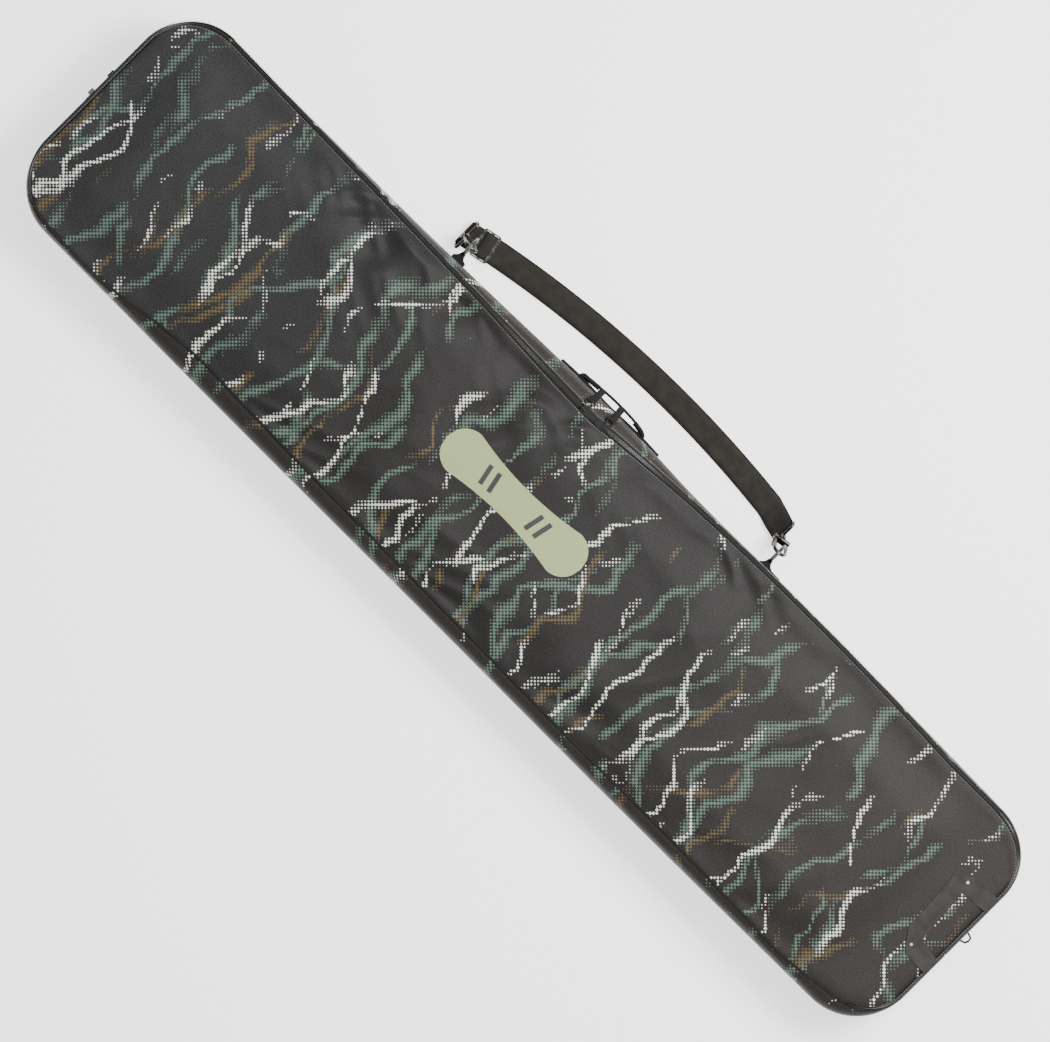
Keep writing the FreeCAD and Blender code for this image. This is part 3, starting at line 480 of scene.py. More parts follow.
# ---------------------------------------------------------------- materials
class Look:
    """A material under construction: its nodes and its principled shader."""

    def __init__(self, name):
        self.material = bpy.data.materials.new(name)
        self.material.use_nodes = True
        self.tree = self.material.node_tree
        self.shader = self.tree.nodes["Principled BSDF"]

    def plug(self, socket, value):
        if isinstance(value, bpy.types.NodeSocket):
            self.tree.links.new(value, socket)
        elif hasattr(value, "__len__") and len(value) == 3 and socket.type == "RGBA":
            socket.default_value = (*value, 1.0)
        else:
            socket.default_value = value

    def node(self, kind, inputs, **settings):
        made = self.tree.nodes.new(kind)
        for key, value in settings.items():
            setattr(made, key, value)
        for key, value in inputs.items():
            self.plug(made.inputs[key], value)
        return made

    def set(self, **values):
        for key, value in values.items():
            self.plug(self.shader.inputs[key.replace("_", " ")], value)

    def calc(self, operation, *values):
        made = self.node("ShaderNodeMath", dict(enumerate(values)), operation=operation)
        return made.outputs[0]

    def vector(self, operation, *values):
        made = self.node("ShaderNodeVectorMath", {}, operation=operation)
        for k, value in enumerate(values):
            socket = made.inputs["Scale"] if operation == "SCALE" and k == 1 else made.inputs[k]
            self.plug(socket, value)
        return made.outputs["Value" if operation in ("LENGTH", "DOT_PRODUCT") else "Vector"]

    def parts(self, vector):
        return self.node("ShaderNodeSeparateXYZ", {"Vector": vector}).outputs

    def uv(self):
        return self.node("ShaderNodeTexCoord", {}).outputs["UV"]

    def place(self):
        return self.node("ShaderNodeTexCoord", {}).outputs["Object"]

    def noise(self, vector, scale, detail=2.0, roughness=0.5):
        inputs = {"Vector": vector, "Scale": scale, "Detail": detail, "Roughness": roughness}
        return self.node("ShaderNodeTexNoise", inputs).outputs[0]

    def mix(self, factor, first, second):
        made = self.node("ShaderNodeMix", {}, data_type="RGBA")
        self.plug(made.inputs[0], factor)
        self.plug(made.inputs[6], first)
        self.plug(made.inputs[7], second)
        return made.outputs[2]

    def span(self, value, low, high, new_low=0.0, new_high=1.0):
        inputs = {"Value": value, "From Min": low, "From Max": high, "To Min": new_low, "To Max": new_high}
        return self.node("ShaderNodeMapRange", inputs).outputs[0]

    def bump(self, height, strength, distance):
        inputs = {"Height": height, "Strength": strength, "Distance": distance}
        self.set(Normal=self.node("ShaderNodeBump", inputs).outputs[0])


def weave(look, point, pitch):
    """Height of a plain weave."""
    x, y, _ = look.parts(look.vector("SCALE", point, 2 * math.pi / pitch))
    return look.calc("MULTIPLY", look.calc("SINE", x), look.calc("SINE", y))


def streak(look, spot, shift, spacing, half_width, keep):
    """Tone of thin wavy lines that run mostly across the bag: 1 in the middle of a line, 0 beside it."""
    moved = look.vector("ADD", spot, shift)
    x, y, _ = look.parts(moved)
    stretched = look.vector("MULTIPLY", moved, (0.4, 1.0, 1.0))
    slow = look.calc("SUBTRACT", look.noise(stretched, 5.0, 1.0), 0.5)
    quick = look.calc("SUBTRACT", look.noise(stretched, 19.0, 2.0), 0.5)
    sway = look.calc("ADD", look.calc("MULTIPLY", slow, SWAY_SLOW), look.calc("MULTIPLY", quick, SWAY_QUICK))
    place = look.calc("DIVIDE", look.calc("ADD", x, sway), spacing)
    index = look.calc("FLOOR", place)
    jitter = look.node("ShaderNodeTexWhiteNoise", {"W": index}, noise_dimensions="1D").outputs["Value"]
    middle = look.span(jitter, 0.0, 1.0, 0.3, 0.7)
    off = look.calc("ABSOLUTE", look.calc("SUBTRACT", look.calc("SUBTRACT", place, index), middle))
    own_x = look.calc("MULTIPLY", index, 3.7)
    own_y = look.calc("MULTIPLY", y, 14.0)
    own = look.node("ShaderNodeCombineXYZ", {"X": own_x, "Y": own_y})
    swell = look.noise(own.outputs[0], 1.0, 2.0, 0.6)
    width = look.calc("MULTIPLY", look.span(swell, 0.3, 0.7, 0.35, 1.45), half_width / spacing)
    tone = look.calc("SUBTRACT", 1.0, look.calc("DIVIDE", off, width))
    _, side, _ = look.parts(spot)
    threshold = look.span(side, -0.16, 0.14, keep - 0.07, keep + 0.03)
    patch = look.noise(look.vector("MULTIPLY", moved, (1.0, 0.6, 1.0)), 12.0, 2.5, 0.6)
    shown = look.span(look.calc("SUBTRACT", patch, threshold), 0.0, 0.07)
    return look.calc("MULTIPLY", look.calc("MAXIMUM", tone, 0.0), shown)


def dots(look, tone, screen):
    """Dots that grow with the tone; where it is high they run together and leave round dark holes."""
    share_inked = look.calc("MINIMUM", look.calc("MULTIPLY_ADD", tone, 0.60, 0.13), 0.61)
    threshold = look.calc("MULTIPLY_ADD", share_inked, -2.0, 1.0)
    ink = look.span(look.calc("SUBTRACT", screen, threshold), -0.12, 0.12)
    return look.calc("MULTIPLY", ink, look.calc("GREATER_THAN", tone, 0.02))


def printed_fabric():
    look = Look("print_fabric")
    point = look.uv()
    turned = look.node(
        "ShaderNodeVectorRotate", {"Vector": point, "Angle": math.pi / 4}, rotation_type="Z_AXIS",
    )
    scaled = look.vector("SCALE", turned.outputs[0], 1 / DOT_PITCH)
    centre = look.vector("ADD", look.vector("FLOOR", scaled), (0.5, 0.5, 0.0))
    u, v, _ = look.parts(look.vector("SCALE", look.vector("SUBTRACT", scaled, centre), 2 * math.pi))
    screen = look.calc("MULTIPLY", look.calc("ADD", look.calc("COSINE", u), look.calc("COSINE", v)), 0.5)
    spot = look.node(
        "ShaderNodeVectorRotate",
        {"Vector": look.vector("SCALE", centre, DOT_PITCH), "Angle": -math.pi / 4}, rotation_type="Z_AXIS",
    ).outputs[0]
    along = look.parts(point)[0]
    # painted sheen: the nose end is lighter; the tints along the bag are the cloth's own
    colour = look.mix(look.span(along, -0.75, -0.25), CLOTH_NOSE_TINT_AND_SHEEN, CLOTH_MIDDLE)
    colour = look.mix(look.span(along, 0.2, 0.7), colour, CLOTH_TAIL)
    mottle = look.noise(point, 40.0, 3.0)
    colour = look.mix(look.span(mottle, 0.3, 0.7, 0.0, 0.35), colour, CLOTH_MOTTLE)
    for ink, shift, spacing, half_width, keep in PRINT:
        tone = streak(look, spot, shift, spacing, half_width, keep)
        colour = look.mix(dots(look, tone, screen), colour, ink)
    grain = look.noise(point, 450.0, 2.0, 0.7)
    colour = look.vector("SCALE", colour, look.span(grain, 0.3, 0.7, 0.6, 1.45))
    look.set(Base_Color=colour, Roughness=0.44, Specular_IOR_Level=0.14)
    look.bump(weave(look, point, 0.0009), 0.25, 0.0002)
    return look.material


def plain(name, colour, roughness, weave_pitch=0.0, **more):
    look = Look(name)
    look.set(Base_Color=colour, Roughness=roughness, **more)
    if weave_pitch:
        look.bump(weave(look, look.uv(), weave_pitch), 0.4, 0.0003)
    return look.material


def webbing_look(name, colour, half_width):
    """Ribbed webbing with a darker selvage and painted shade in the rib troughs; u runs across it and v
    along it.
    """
    look = Look(name)
    point = look.uv()
    across, along, _ = look.parts(point)
    ribs = look.calc("SINE", look.calc("MULTIPLY", along, 2 * math.pi / RIB_PITCH))
    lines = look.calc("SINE", look.calc("MULTIPLY", across, 2 * math.pi / 0.0021))
    height = look.calc("ADD", ribs, look.calc("MULTIPLY", lines, 0.4))
    edge = look.span(look.calc("ABSOLUTE", across), half_width - 0.0022, half_width - 0.0014)
    wear = look.span(look.noise(point, 60.0, 3.0), 0.35, 0.65, 0.8, 1.15)
    # painted shade: the colour is darkened to 0.7 in the troughs between the ribs
    painted_rib_shade = look.mix(look.span(ribs, -1.0, 1.0), [0.7 * c for c in colour], colour)
    painted_rib_shade = look.vector("SCALE", painted_rib_shade, wear)
    look.set(Base_Color=look.mix(edge, painted_rib_shade, SELVAGE), Roughness=0.62, Specular_IOR_Level=0.15)
    look.bump(height, 0.5, 0.0003)
    return look.material


def two_colours(name, strap_side, hinge_side):
    """One colour on each half of the bag."""
    look = Look(name)
    across = look.parts(look.place())[1]
    is_strap_side = look.calc("GREATER_THAN", across, 0.02)
    look.set(Base_Color=look.mix(is_strap_side, hinge_side, strap_side), Roughness=0.5)
    return look.material


def dark_nickel():
    look = Look("dark_metal")
    rub = look.noise(look.place(), 260.0, 4.0)
    look.set(
        Base_Color=look.mix(look.span(rub, 0.4, 0.65), DULL_NICKEL, RUBBED_NICKEL),
        Metallic=1.0, Roughness=look.span(rub, 0.3, 0.7, 0.22, 0.34),
    )
    return look.material


def floor_look():
    look = Look("studio_floor")
    look.set(Base_Color=(0.93, 0.93, 0.93), Roughness=0.9)
    look.set(Emission_Color=(1.0, 1.0, 1.0), Emission_Strength=FLOOR_GLOW)
    return look.material


FABRIC = printed_fabric()
LINING = plain("lining", (0.050, 0.052, 0.056), 0.8, 0.0012)
PIPING = plain("piping", (0.010, 0.010, 0.010), 0.5, 0.0012, Specular_IOR_Level=0.25)
TAPE = plain("zip_tape", (0.022, 0.020, 0.018), 0.7, 0.0010, Specular_IOR_Level=0.15)
COIL = plain("zip_coil", (0.030, 0.029, 0.028), 0.30)
ENAMEL = plain("slider_metal", (0.009, 0.009, 0.009), 0.16, Specular_IOR_Level=0.7, Coat_Weight=0.8)
STRAP_LOOK = webbing_look("strap_webbing_look", (0.030, 0.0265, 0.0225), STRAP_W / 2)
HANDLE_LOOK = webbing_look("handle_webbing_look", (0.018, 0.018, 0.018), TAB_W / 2)
HAUL_LOOK = webbing_look("haul_webbing_look", (0.052, 0.048, 0.045), 1.0)
TAB_LOOK = webbing_look("tab_webbing_look", (0.012, 0.012, 0.012), TAB_W / 2)
METAL = dark_nickel()
STEEL = plain("spring_steel", (0.55, 0.55, 0.55), 0.3, Metallic=1.0)
EMBLEM = plain("emblem_print", (0.40, 0.46, 0.22), 0.55, 0.0009, Specular_IOR_Level=0.2)
LABEL = plain("label", (0.78, 0.78, 0.76), 0.7, 0.0008)
THREAD = plain("thread", (0.16, 0.16, 0.155), 0.6)
STUD = two_colours("stud_print", (0.80, 0.80, 0.76), (0.55, 0.62, 0.16))
MARK = plain("binding_mark", (0.024, 0.023, 0.022), 0.5)


def dress(made, look):
    made.data.materials.clear()
    made.data.materials.append(look)
    return made


def on_body(made, look, slot, body, *nodes):
    dress(made, look)
    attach(made, body)
    if nodes:
        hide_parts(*nodes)
    return made


def on_hinge(made, look, slot, *nodes):
    """A piece of the front, which is sewn to the shell; it is dressed, its placement baked into its points
    and the parts it replaces hidden.
    """
    dress(made, look)
    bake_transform(made)
    if nodes:
        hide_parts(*nodes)
    return made


# ---------------------------------------------------------------- front cover
def panel_columns():
    reach = PANEL_END - CORNER_X
    nose = -CORNER_X - reach * np.cos(TURN)
    tail = CORNER_X + reach * np.sin(np.append(TURN, math.pi / 2))
    return np.concatenate([nose, SIDE_X, tail])


def panel_limits(x, inset=0.0):
    """Lower and upper edge of the front at each x."""
    past = np.clip((np.abs(x) - CORNER_X) / (PANEL_END - CORNER_X), 0, 1)
    corner = np.sqrt(np.maximum(1 - past ** 2, 0))
    side = np.clip(x, -CORNER_X, CORNER_X)
    low = END_LOW + (seam_y(side) - END_LOW) * corner
    high = END_TOP + (cover_strap_y(side) - END_TOP) * corner
    return low + inset, high - inset


def crown(x, y):
    """Share of the padding's full height."""
    along = smooth((x - CROWN_X[0]) / CROWN_RUN) * smooth((CROWN_X[1] - x) / CROWN_RUN)
    across = smooth((y - CROWN_Y[0]) / CROWN_RUN) * smooth((CROWN_Y[1] - y) / CROWN_RUN)
    return along * across


def gathers(x, places):
    return sum(strength * bell(x, place, width) for strength, place, width in places)


def cover_height(x, y):
    """Height of the front's fabric, with its folds."""
    low, high = panel_limits(x)
    to_low, to_high = y - low, high - y
    to_end = PANEL_END - np.abs(x)
    near = np.minimum(np.minimum(to_low, to_high), to_end)
    end_fall = (EDGE_Z - PANEL_END_Z) * np.exp(-to_end / 0.006)
    z = EDGE_Z + CROWN * crown(x, y) - end_fall + 0.0008 * smooth(near / 0.006)
    flat = smooth((x + 0.52) / 0.2) * smooth((0.70 - x) / 0.1)
    inside = smooth(near / 0.02)
    z = z + 0.0014 * noise(x, y, 0.11, 3) * inside
    z = z + 0.0007 * noise(x, y, 0.045, 4) * inside * flat
    pull = np.exp(-to_high / PULL_REACH) * gathers(x, PULL_PLACES)
    slack = np.exp(-to_low / SLACK_REACH) * (SLACK_EVERYWHERE + gathers(x, SLACK_PLACES)) * flat
    share_of = {"pull": pull, "slack": slack, "broad": flat}
    for region, height, angle, length, width, seed in COVER_FOLDS:
        z = z + height * share_of[region] * folds(x, y, angle, length, width, seed) * inside
    pucker = np.exp(-near / PUCKER_REACH) * noise(x, y, 0.013, 15) * inside
    return z + PUCKER * pucker


def front_cover():
    x = np.repeat(panel_columns()[None, :], ROWS, 0)
    low, high = panel_limits(x)
    fraction = np.linspace(0, 1, ROWS)[:, None]
    y = low + (high - low) * fraction
    surface = np.stack([x, y, cover_height(x, y)], -1)
    made = sheet_object("front_cover", surface, surface[..., :2])
    on_hinge(made, FABRIC, "print_fabric", "front_panel", "front_foam")


def lid_lining():
    """The inside of the front, turned up at its edge to meet the cover."""
    x = np.repeat(panel_columns()[None, :], ROWS, 0)
    low, high = panel_limits(x)
    y = low + (high - low) * smooth(np.linspace(0, 1, ROWS))[:, None]
    near = np.minimum(np.minimum(y - low, high - y), PANEL_END - np.abs(x))
    z = LINING_Z + 0.0045 * np.exp(-near / 0.0025) - 0.0008 * noise(x, y, 0.08, 21) * smooth(near / 0.03)
    surface = np.stack([x, y, z], -1)
    made = sheet_object("lid_lining", surface, surface[..., :2], flip=True)
    on_hinge(made, LINING, "lining", "front_lining")


def front_piping():
    points = PANEL_EDGE.copy()
    points[:, 2] += share(0.0002, 0.0004, 0.0008)
    radius = share(0.0008, FRONT_PIPING_R, FRONT_PIPING_R)
    made = tube("front_piping_cord", points, radius, closed=True, sides=8)
    on_hinge(made, PIPING, "piping", "front_piping")


# ---------------------------------------------------------------- gusset
def gusset_rows(stations, part):
    """Outer face of the gusset: 'roll' from the zip over the edge, 'wall' down to the foot."""
    edge, outline, outward = GUSSET_EDGE[stations], OUTLINE[stations], OUTWARD[stations]
    length = LENGTH_AROUND[stations]
    drop = share(ROLL_DROP, END_ROLL_DROP, ROLL_DROP)[stations]
    top_z = edge[:, 2] - drop
    rows = []
    if "roll" in part:
        for a in np.linspace(0, math.pi / 2, 10):
            xy = edge[:, :2] + (outline - edge[:, :2]) * math.sin(a)
            z = edge[:, 2] - drop * (1 - math.cos(a))
            wave = 0.0007 * noise(length, np.full_like(length, a), 0.03, 31) * math.sin(a)
            rows.append(np.column_stack([xy, z + wave]))
    if "wall" in part:
        for k in np.linspace(0, 1, 22)[(1 if "roll" in part else 0):]:
            z = top_z * (1 - k) + FOOT_Z * k
            fade = math.sin(math.pi * k)
            sway = 0.0022 * noise(length, z, 0.07, 32) + 0.0012 * noise(length, z * 2.0, 0.03, 33)
            flat = 1 - 0.9 * bell(length - CORNER_X, -0.024, 0.11)
            xy = outline + outward * ((sway * flat - 0.0012) * fade)[:, None]
            rows.append(np.column_stack([xy, z]))
    return np.stack(rows), length


def lay_uv(rows, length):
    """Distance along the bag and distance down the cloth."""
    steps = np.linalg.norm(np.diff(rows, axis=0), axis=2)
    down = np.concatenate([np.zeros((1, rows.shape[1])), np.cumsum(steps, 0)])
    return np.stack([np.broadcast_to(length, down.shape), 0.31 + down], -1)


def gusset_cover():
    everywhere = np.arange(len(OUTLINE))
    open_run = np.concatenate([np.arange(HINGE_LAST, len(OUTLINE)), np.arange(0, HINGE_FIRST + 1)])
    rows, length = gusset_rows(open_run, ("roll",))
    roll = sheet_object("gusset_roll", rows, lay_uv(rows, length))
    on_body(roll, FABRIC, "print_fabric", "shell", "roll_foam_strap_side")
    rows, length = gusset_rows(everywhere, ("wall",))
    wall = sheet_object("gusset_wall", rows, lay_uv(rows, length), closed=True)
    covered = [f"gusset_{layer}_{place}" for layer in ("fabric", "foam")
               for place in ("strap_side", "hinge_side", "nose", "tail")]
    on_body(wall, FABRIC, "print_fabric", "shell", *covered)
    rows, length = gusset_rows(np.arange(HINGE_FIRST, HINGE_LAST + 1), ("roll",))
    strip = sheet_object("hinge_strip", rows, lay_uv(rows, length))
    on_hinge(strip, FABRIC, "print_fabric", "roll_foam_hinge_side")


def body_lining():
    """Inside of the walls, from the zip under the roll and down to the floor, and the floor."""
    inner = OUTLINE - OUTWARD * WALL
    under = GUSSET_EDGE.copy()
    under[:, 2] -= 0.0015
    rows = [under, with_height(GUSSET_EDGE[:, :2], np.full(len(OUTLINE), LINING_Z - 0.0005))]
    rows.append(with_height(inner, np.full(len(OUTLINE), LINING_Z - 0.0008)))
    for z in np.linspace(LINING_Z - 0.004, FLOOR_Z, 14):
        sway = 0.0010 * noise(LENGTH_AROUND, np.full(len(OUTLINE), z), 0.05, 41)
        rows.append(with_height(inner + OUTWARD * sway[:, None], np.full(len(OUTLINE), z)))
    rows = np.stack(rows)
    walls = sheet_object("body_lining", rows, lay_uv(rows, LENGTH_AROUND), flip=True, closed=True)
    lined = [f"gusset_lining_{place}" for place in ("strap_side", "hinge_side", "nose", "tail")]
    on_body(walls, LINING, "lining", "shell", *lined)
    floor = flat_sheet("floor_lining", OUTLINE - OUTWARD * (WALL - 0.001), FLOOR_Z, 0.0006, 42)
    on_body(floor, LINING, "lining", "shell", "back_lining", "back_foam")


def flat_sheet(name, line, z, wave, seed, flip=False):
    """Sheet inside a closed line: rings that shrink towards the middle of the bag."""
    rings = []
    spine = np.column_stack([np.clip(line[:, 0], -0.70, 0.70), np.zeros(len(line))])
    for k in np.linspace(0, 1, 16):
        xy = line + (spine - line) * k
        height = z + wave * noise(xy[:, 0], xy[:, 1], 0.09, seed) * smooth(np.array(k * 6))
        rings.append(np.column_stack([xy, height]))
    rows = np.stack(rings)
    return sheet_object(name, rows, rows[..., :2], flip=not flip, closed=True)


def back_cover():
    made = flat_sheet("back_cover", OUTLINE - OUTWARD * 0.002, 0.0010, 0.0003, 51, flip=True)
    on_body(made, FABRIC, "print_fabric", "shell", "back_panel")
    line = with_height(OUTLINE, np.full(len(OUTLINE), 0.0042))
    cord = tube("back_piping_cord", line, PIPING_R, closed=True)
    on_body(cord, PIPING, "piping", "shell", "back_piping")


# ---------------------------------------------------------------- zip
ZIP_RUN = np.concatenate([np.arange(HINGE_LAST + CORNER_N // 3, len(OUTLINE)),
                          np.arange(0, HINGE_FIRST - CORNER_N // 3)])


def zip_frame():
    """Points and directions of the strip between the cover's edge and the gusset's edge."""
    start, end = PANEL_EDGE[ZIP_RUN], GUSSET_EDGE[ZIP_RUN]
    across = end - start
    along = unit(np.gradient((start + end) / 2, axis=0))
    up = unit(np.cross(across, along))
    up = up * np.sign(up[:, 2:3] + 1e-9)
    return start, across, along, up


def zip_tape(name, first, last):
    start, across, _, up = zip_frame()
    rows = np.stack([start + across * f - up * 0.0012 for f in np.linspace(first, last, 4)])
    length = path_length(start)
    return sheet_object(name, rows, lay_uv(rows, length))


def along_zip(share_across, pitch, lift, phase=0.0):
    """Evenly spaced places along the zip, with their three directions."""
    start, across, along, up = zip_frame()
    line = start + across * share_across + up * lift
    length = path_length(line)
    stops = np.arange(phase * pitch, length[-1], pitch)
    pick = lambda values: np.stack([np.interp(stops, length, values[:, k]) for k in range(3)], 1)
    band = np.linalg.norm(pick(across), axis=1, keepdims=True)
    return pick(line), [unit(pick(across)), unit(pick(along)), unit(pick(up))], band


def zip_pieces():
    tape = zip_tape("zip_tape_lid", -0.3, 0.46)
    on_hinge(tape, TAPE, "zip_tape", "zip_tape_front")
    tape = zip_tape("zip_tape_shell", 0.54, 1.3)
    on_body(tape, TAPE, "zip_tape", "shell", "zip_tape_body")
    centres, axes, band = along_zip(0.40, TOOTH_PITCH, TOOTH_LIFT)
    coil = blocks("zip_teeth_lid", centres, axes, (band * TOOTH_SHARE, *TOOTH_SIZE))
    on_hinge(coil, COIL, "zip_coil", "zip_coil_front")
    centres, axes, band = along_zip(0.60, TOOTH_PITCH, TOOTH_LIFT, 0.5)
    coil = blocks("zip_teeth_shell", centres, axes, (band * TOOTH_SHARE, *TOOTH_SIZE))
    on_body(coil, COIL, "zip_coil", "shell", "zip_coil_body")
    for side, place in (("lid", -0.22), ("shell", 1.22)):
        centres, axes, _ = along_zip(place, STITCH_PITCH, STITCH_LIFT)
        row = blocks(f"zip_stitches_{side}", centres, axes, STITCH)
        if side == "lid":
            on_hinge(row, THREAD, "zip_tape")
        else:
            on_body(row, THREAD, "zip_tape", "shell")
    zip_ends()


def zip_ends():
    """Webbing patch over each end of the zip."""
    start, across, along, up = zip_frame()
    for name, k in (("nose", 0), ("tail", -1)):
        middle = start[k] + across[k] * 0.5 + up[k] * 0.0012
        points = [middle + along[k] * step for step in np.linspace(-0.006, 0.006, 5)]
        patch = ribbon(f"zip_stop_{name}", points, across[k], 0.014, 0.0012)
        nodes = ("zip_end_stops",) if name == "nose" else ()
        on_body(patch, TAB_LOOK, "zip_tape", "shell", *nodes)


# ---------------------------------------------------------------- emblem
def emblem():
    """Plain pictogram of a snowboard, printed on the cover."""
    centre_x, centre_y = EMBLEM_CENTRE
    u = np.linspace(-1, 1, EMBLEM_COLUMNS)
    body = EMBLEM_WAIST + (EMBLEM_TIP - EMBLEM_WAIST) * np.abs(u / EMBLEM_ROUND) ** 2
    past = np.clip((np.abs(u) - EMBLEM_ROUND) / (1 - EMBLEM_ROUND), 0, 1)
    rounded = EMBLEM_TIP * np.sqrt(np.maximum(1 - past ** 2, 0))
    half_y = np.where(np.abs(u) < EMBLEM_ROUND, body, rounded)
    v = np.linspace(-1, 1, EMBLEM_ROWS)[:, None]
    x = np.broadcast_to(centre_x + u * EMBLEM_HALF, (EMBLEM_ROWS, EMBLEM_COLUMNS))
    y = centre_y + v * half_y
    surface = np.stack([x, y, cover_height(x, y) + 0.00025], -1)
    made = sheet_object("emblem", surface, surface[..., :2])
    on_body(made, EMBLEM, "emblem_print", "front", "front_emblem")
    for side in (-1, 1):
        for k in (-1, 1):
            binding_mark(f"emblem_mark_{'nose' if side < 0 else 'tail'}_{'a' if k < 0 else 'b'}",
                         centre_x + side * BINDING_X + k * BINDING_GAP, centre_y, -side * BINDING_TURN)


def binding_mark(name, x0, y0, turn):
    a, b = np.meshgrid(np.linspace(-0.0035, 0.0035, 5), np.linspace(-0.015, 0.015, 13))
    x = x0 + a * math.cos(turn) - b * math.sin(turn)
    y = y0 + a * math.sin(turn) + b * math.cos(turn)
    surface = np.stack([x, y, cover_height(x, y) + 0.0004], -1)
    on_body(sheet_object(name, surface, surface[..., :2]), MARK, "print_fabric", "front")


# ---------------------------------------------------------------- shoulder strap
def hook_frame(end):
    """Where a hook meets its ring, the way of the ring's wire there and the way down the hook."""
    tilt, lean = HOOK_TILT[end], HOOK_LEAN[end]
    out = np.array([0, math.sin(tilt), -math.cos(tilt)])
    wire = np.array([0, math.cos(tilt), math.sin(tilt)])
    shank = out * math.cos(lean) - np.array([1, 0, 0]) * math.sin(lean)
    return np.array([RING_X[end], RING_ARC_Y, HARDWARE_Z]) + out * RING_R, wire, shank


def strap_ground(x, lift):
    """Point of the strap's centre line on the ground and the direction across the strap."""
    out = np.array([(x - STRAP_CENTRE[0]) / STRAP_R, 0, 0])
    out[1] = math.sqrt(1 - out[0] ** 2)
    point = np.array([*STRAP_CENTRE, 0]) + out * STRAP_R
    point[2] = lift
    return point, out


def strap_end(end, x):
    """Points round the eye's bar and back under the strap, with the width's direction at each."""
    origin, wire, shank = hook_frame(end)
    bar = origin + shank * EYE_BAR
    ground, out = strap_ground(x, 0.0030)
    towards = ground - bar
    towards = unit(towards - wire * towards.dot(wire))
    through = np.cross(wire, towards)
    through = through * np.sign(through[2])
    r = 0.0034
    points, widths = [], []
    for t in np.linspace(0, 1, 9)[1:]:
        lift = smooth(np.array(t))
        arch = np.array([0, 0, 0.002]) * math.sin(math.pi * t)
        points.append(ground * (1 - t) + (bar + through * r) * t + arch)
        widths.append(out * (1 - lift) + wire * lift)
    for a in np.linspace(0, math.pi, 9)[1:]:
        points.append(bar + r * (through * math.cos(a) - towards * math.sin(a)))
        widths.append(wire)
    sign = 1 if end == "nose" else -1
    back, back_out = strap_ground(x + sign * 0.030, 0.0009)
    under, under_out = strap_ground(x + sign * 0.004, 0.0010)
    last = points[-1]
    for t in np.linspace(0, 1, 7)[1:]:
        points.append(last * (1 - t) + under * t)
        widths.append(wire * (1 - t) + under_out * t)
    points.append(back)
    widths.append(back_out)
    return points, widths


def strap():
    points, widths = [], []
    nose_points, nose_widths = strap_end("nose", STRAP_ENDS[0])
    tail_points, tail_widths = strap_end("tail", STRAP_ENDS[1])
    middle = np.linspace(*STRAP_ENDS, 90)
    for x in middle:
        doubled = max(smooth(np.array((STRAP_ENDS[0] + 0.045 - x) / 0.02)),
                      smooth(np.array((x - STRAP_ENDS[1] + 0.045) / 0.02)))
        wave = 0.0012 * (1 + float(noise(np.array(x), np.array(0.0), 0.12, 61)))
        point, out = strap_ground(x, 0.0009 + wave * (1 - doubled) + 0.0021 * doubled)
        points.append(point)
        widths.append(out)
    points = nose_points[::-1] + points + tail_points
    widths = nose_widths[::-1] + widths + tail_widths
    made = ribbon("shoulder_strap", points, widths, STRAP_W, WEBBING)
    on_body(made, STRAP_LOOK, "webbing", "strap", "strap_webbing")


def adjuster_webbing():
    """The strap where it rises over the adjuster's middle bar."""
    points, widths = [], []
    for t in np.linspace(-1, 1, 15):
        point, out = strap_ground(ADJUSTER_X + t * HUMP_REACH, HUMP_LIFT + HUMP_H * (1 - abs(t) ** 2.5))
        points.append(point)
        widths.append(out)
    made = ribbon("adjuster_strap_hump", points, widths, STRAP_W - 0.0008, HUMP_T)
    on_body(made, STRAP_LOOK, "webbing", "adjuster", "adjuster_webbing")


# ---------------------------------------------------------------- tabs, handles and trim
def ring_tab(end, tail_length):
    """Webbing folded round the ring's bar, its two layers sewn together down to the gusset."""
    x = RING_X[end]
    face, r = TAB_ROOT_Y, TAB_FOLD_R
    turn = [(x - r * math.cos(a), RING_BAR_Y + r * math.sin(a)) for a in np.linspace(0, math.pi, 11)]
    outline = [(x - 0.0100, face), (x - 0.0095, 0.1900), (x - 0.0064, 0.1925), (x - 0.0042, 0.1955)]
    outline += turn
    outline += [(x + 0.0042, 0.1955), (x + 0.0068, 0.1925), (x + 0.0120, 0.1905)]
    outline += [(x + tail_length, 0.1898), (x + tail_length, face)]
    made = slab(f"tab_{end}", outline[::-1], HARDWARE_Z - TAB_W / 2, HARDWARE_Z + TAB_W / 2)
    on_body(made, TAB_LOOK, "webbing", "shell", f"ring_tab_{end}")


def carry_handle():
    """Strip sewn to the gusset, the grip standing off it and the folded ends of the grip."""
    strip = [(x, BASE_Y + BASE_WAVE * math.sin(x * 60), HARDWARE_Z) for x in np.linspace(*BASE_X, 24)]
    made = ribbon("handle_base", strip, (0, 0, 1), TAB_W, BASE_T)
    on_body(made, HANDLE_LOOK, "webbing", "shell", "handle_strip")
    xs = np.linspace(GRIP[0][0], GRIP[-1][0], GRIP_STEPS)
    path = np.column_stack([xs, curve_through(xs, GRIP), np.full(GRIP_STEPS, HARDWARE_Z)])
    made = ribbon("handle_grip_webbing", path, (0, 0, 1), TAB_W, GRIP_T)
    on_body(made, HANDLE_LOOK, "webbing", "shell", "handle_grip")
    for name, x0, x1 in GRIP_FOLDS:
        xs = np.linspace(x0, x1, GRIP_FOLD_STEPS)
        path = np.column_stack([xs, curve_through(xs, GRIP) - 0.0010, np.full(GRIP_FOLD_STEPS, HARDWARE_Z)])
        fold = ribbon(f"handle_fold_{name}", path, (0, 0, 1), TAB_W + 0.001, GRIP_FOLD_T)
        on_body(fold, HANDLE_LOOK, "webbing", "shell")


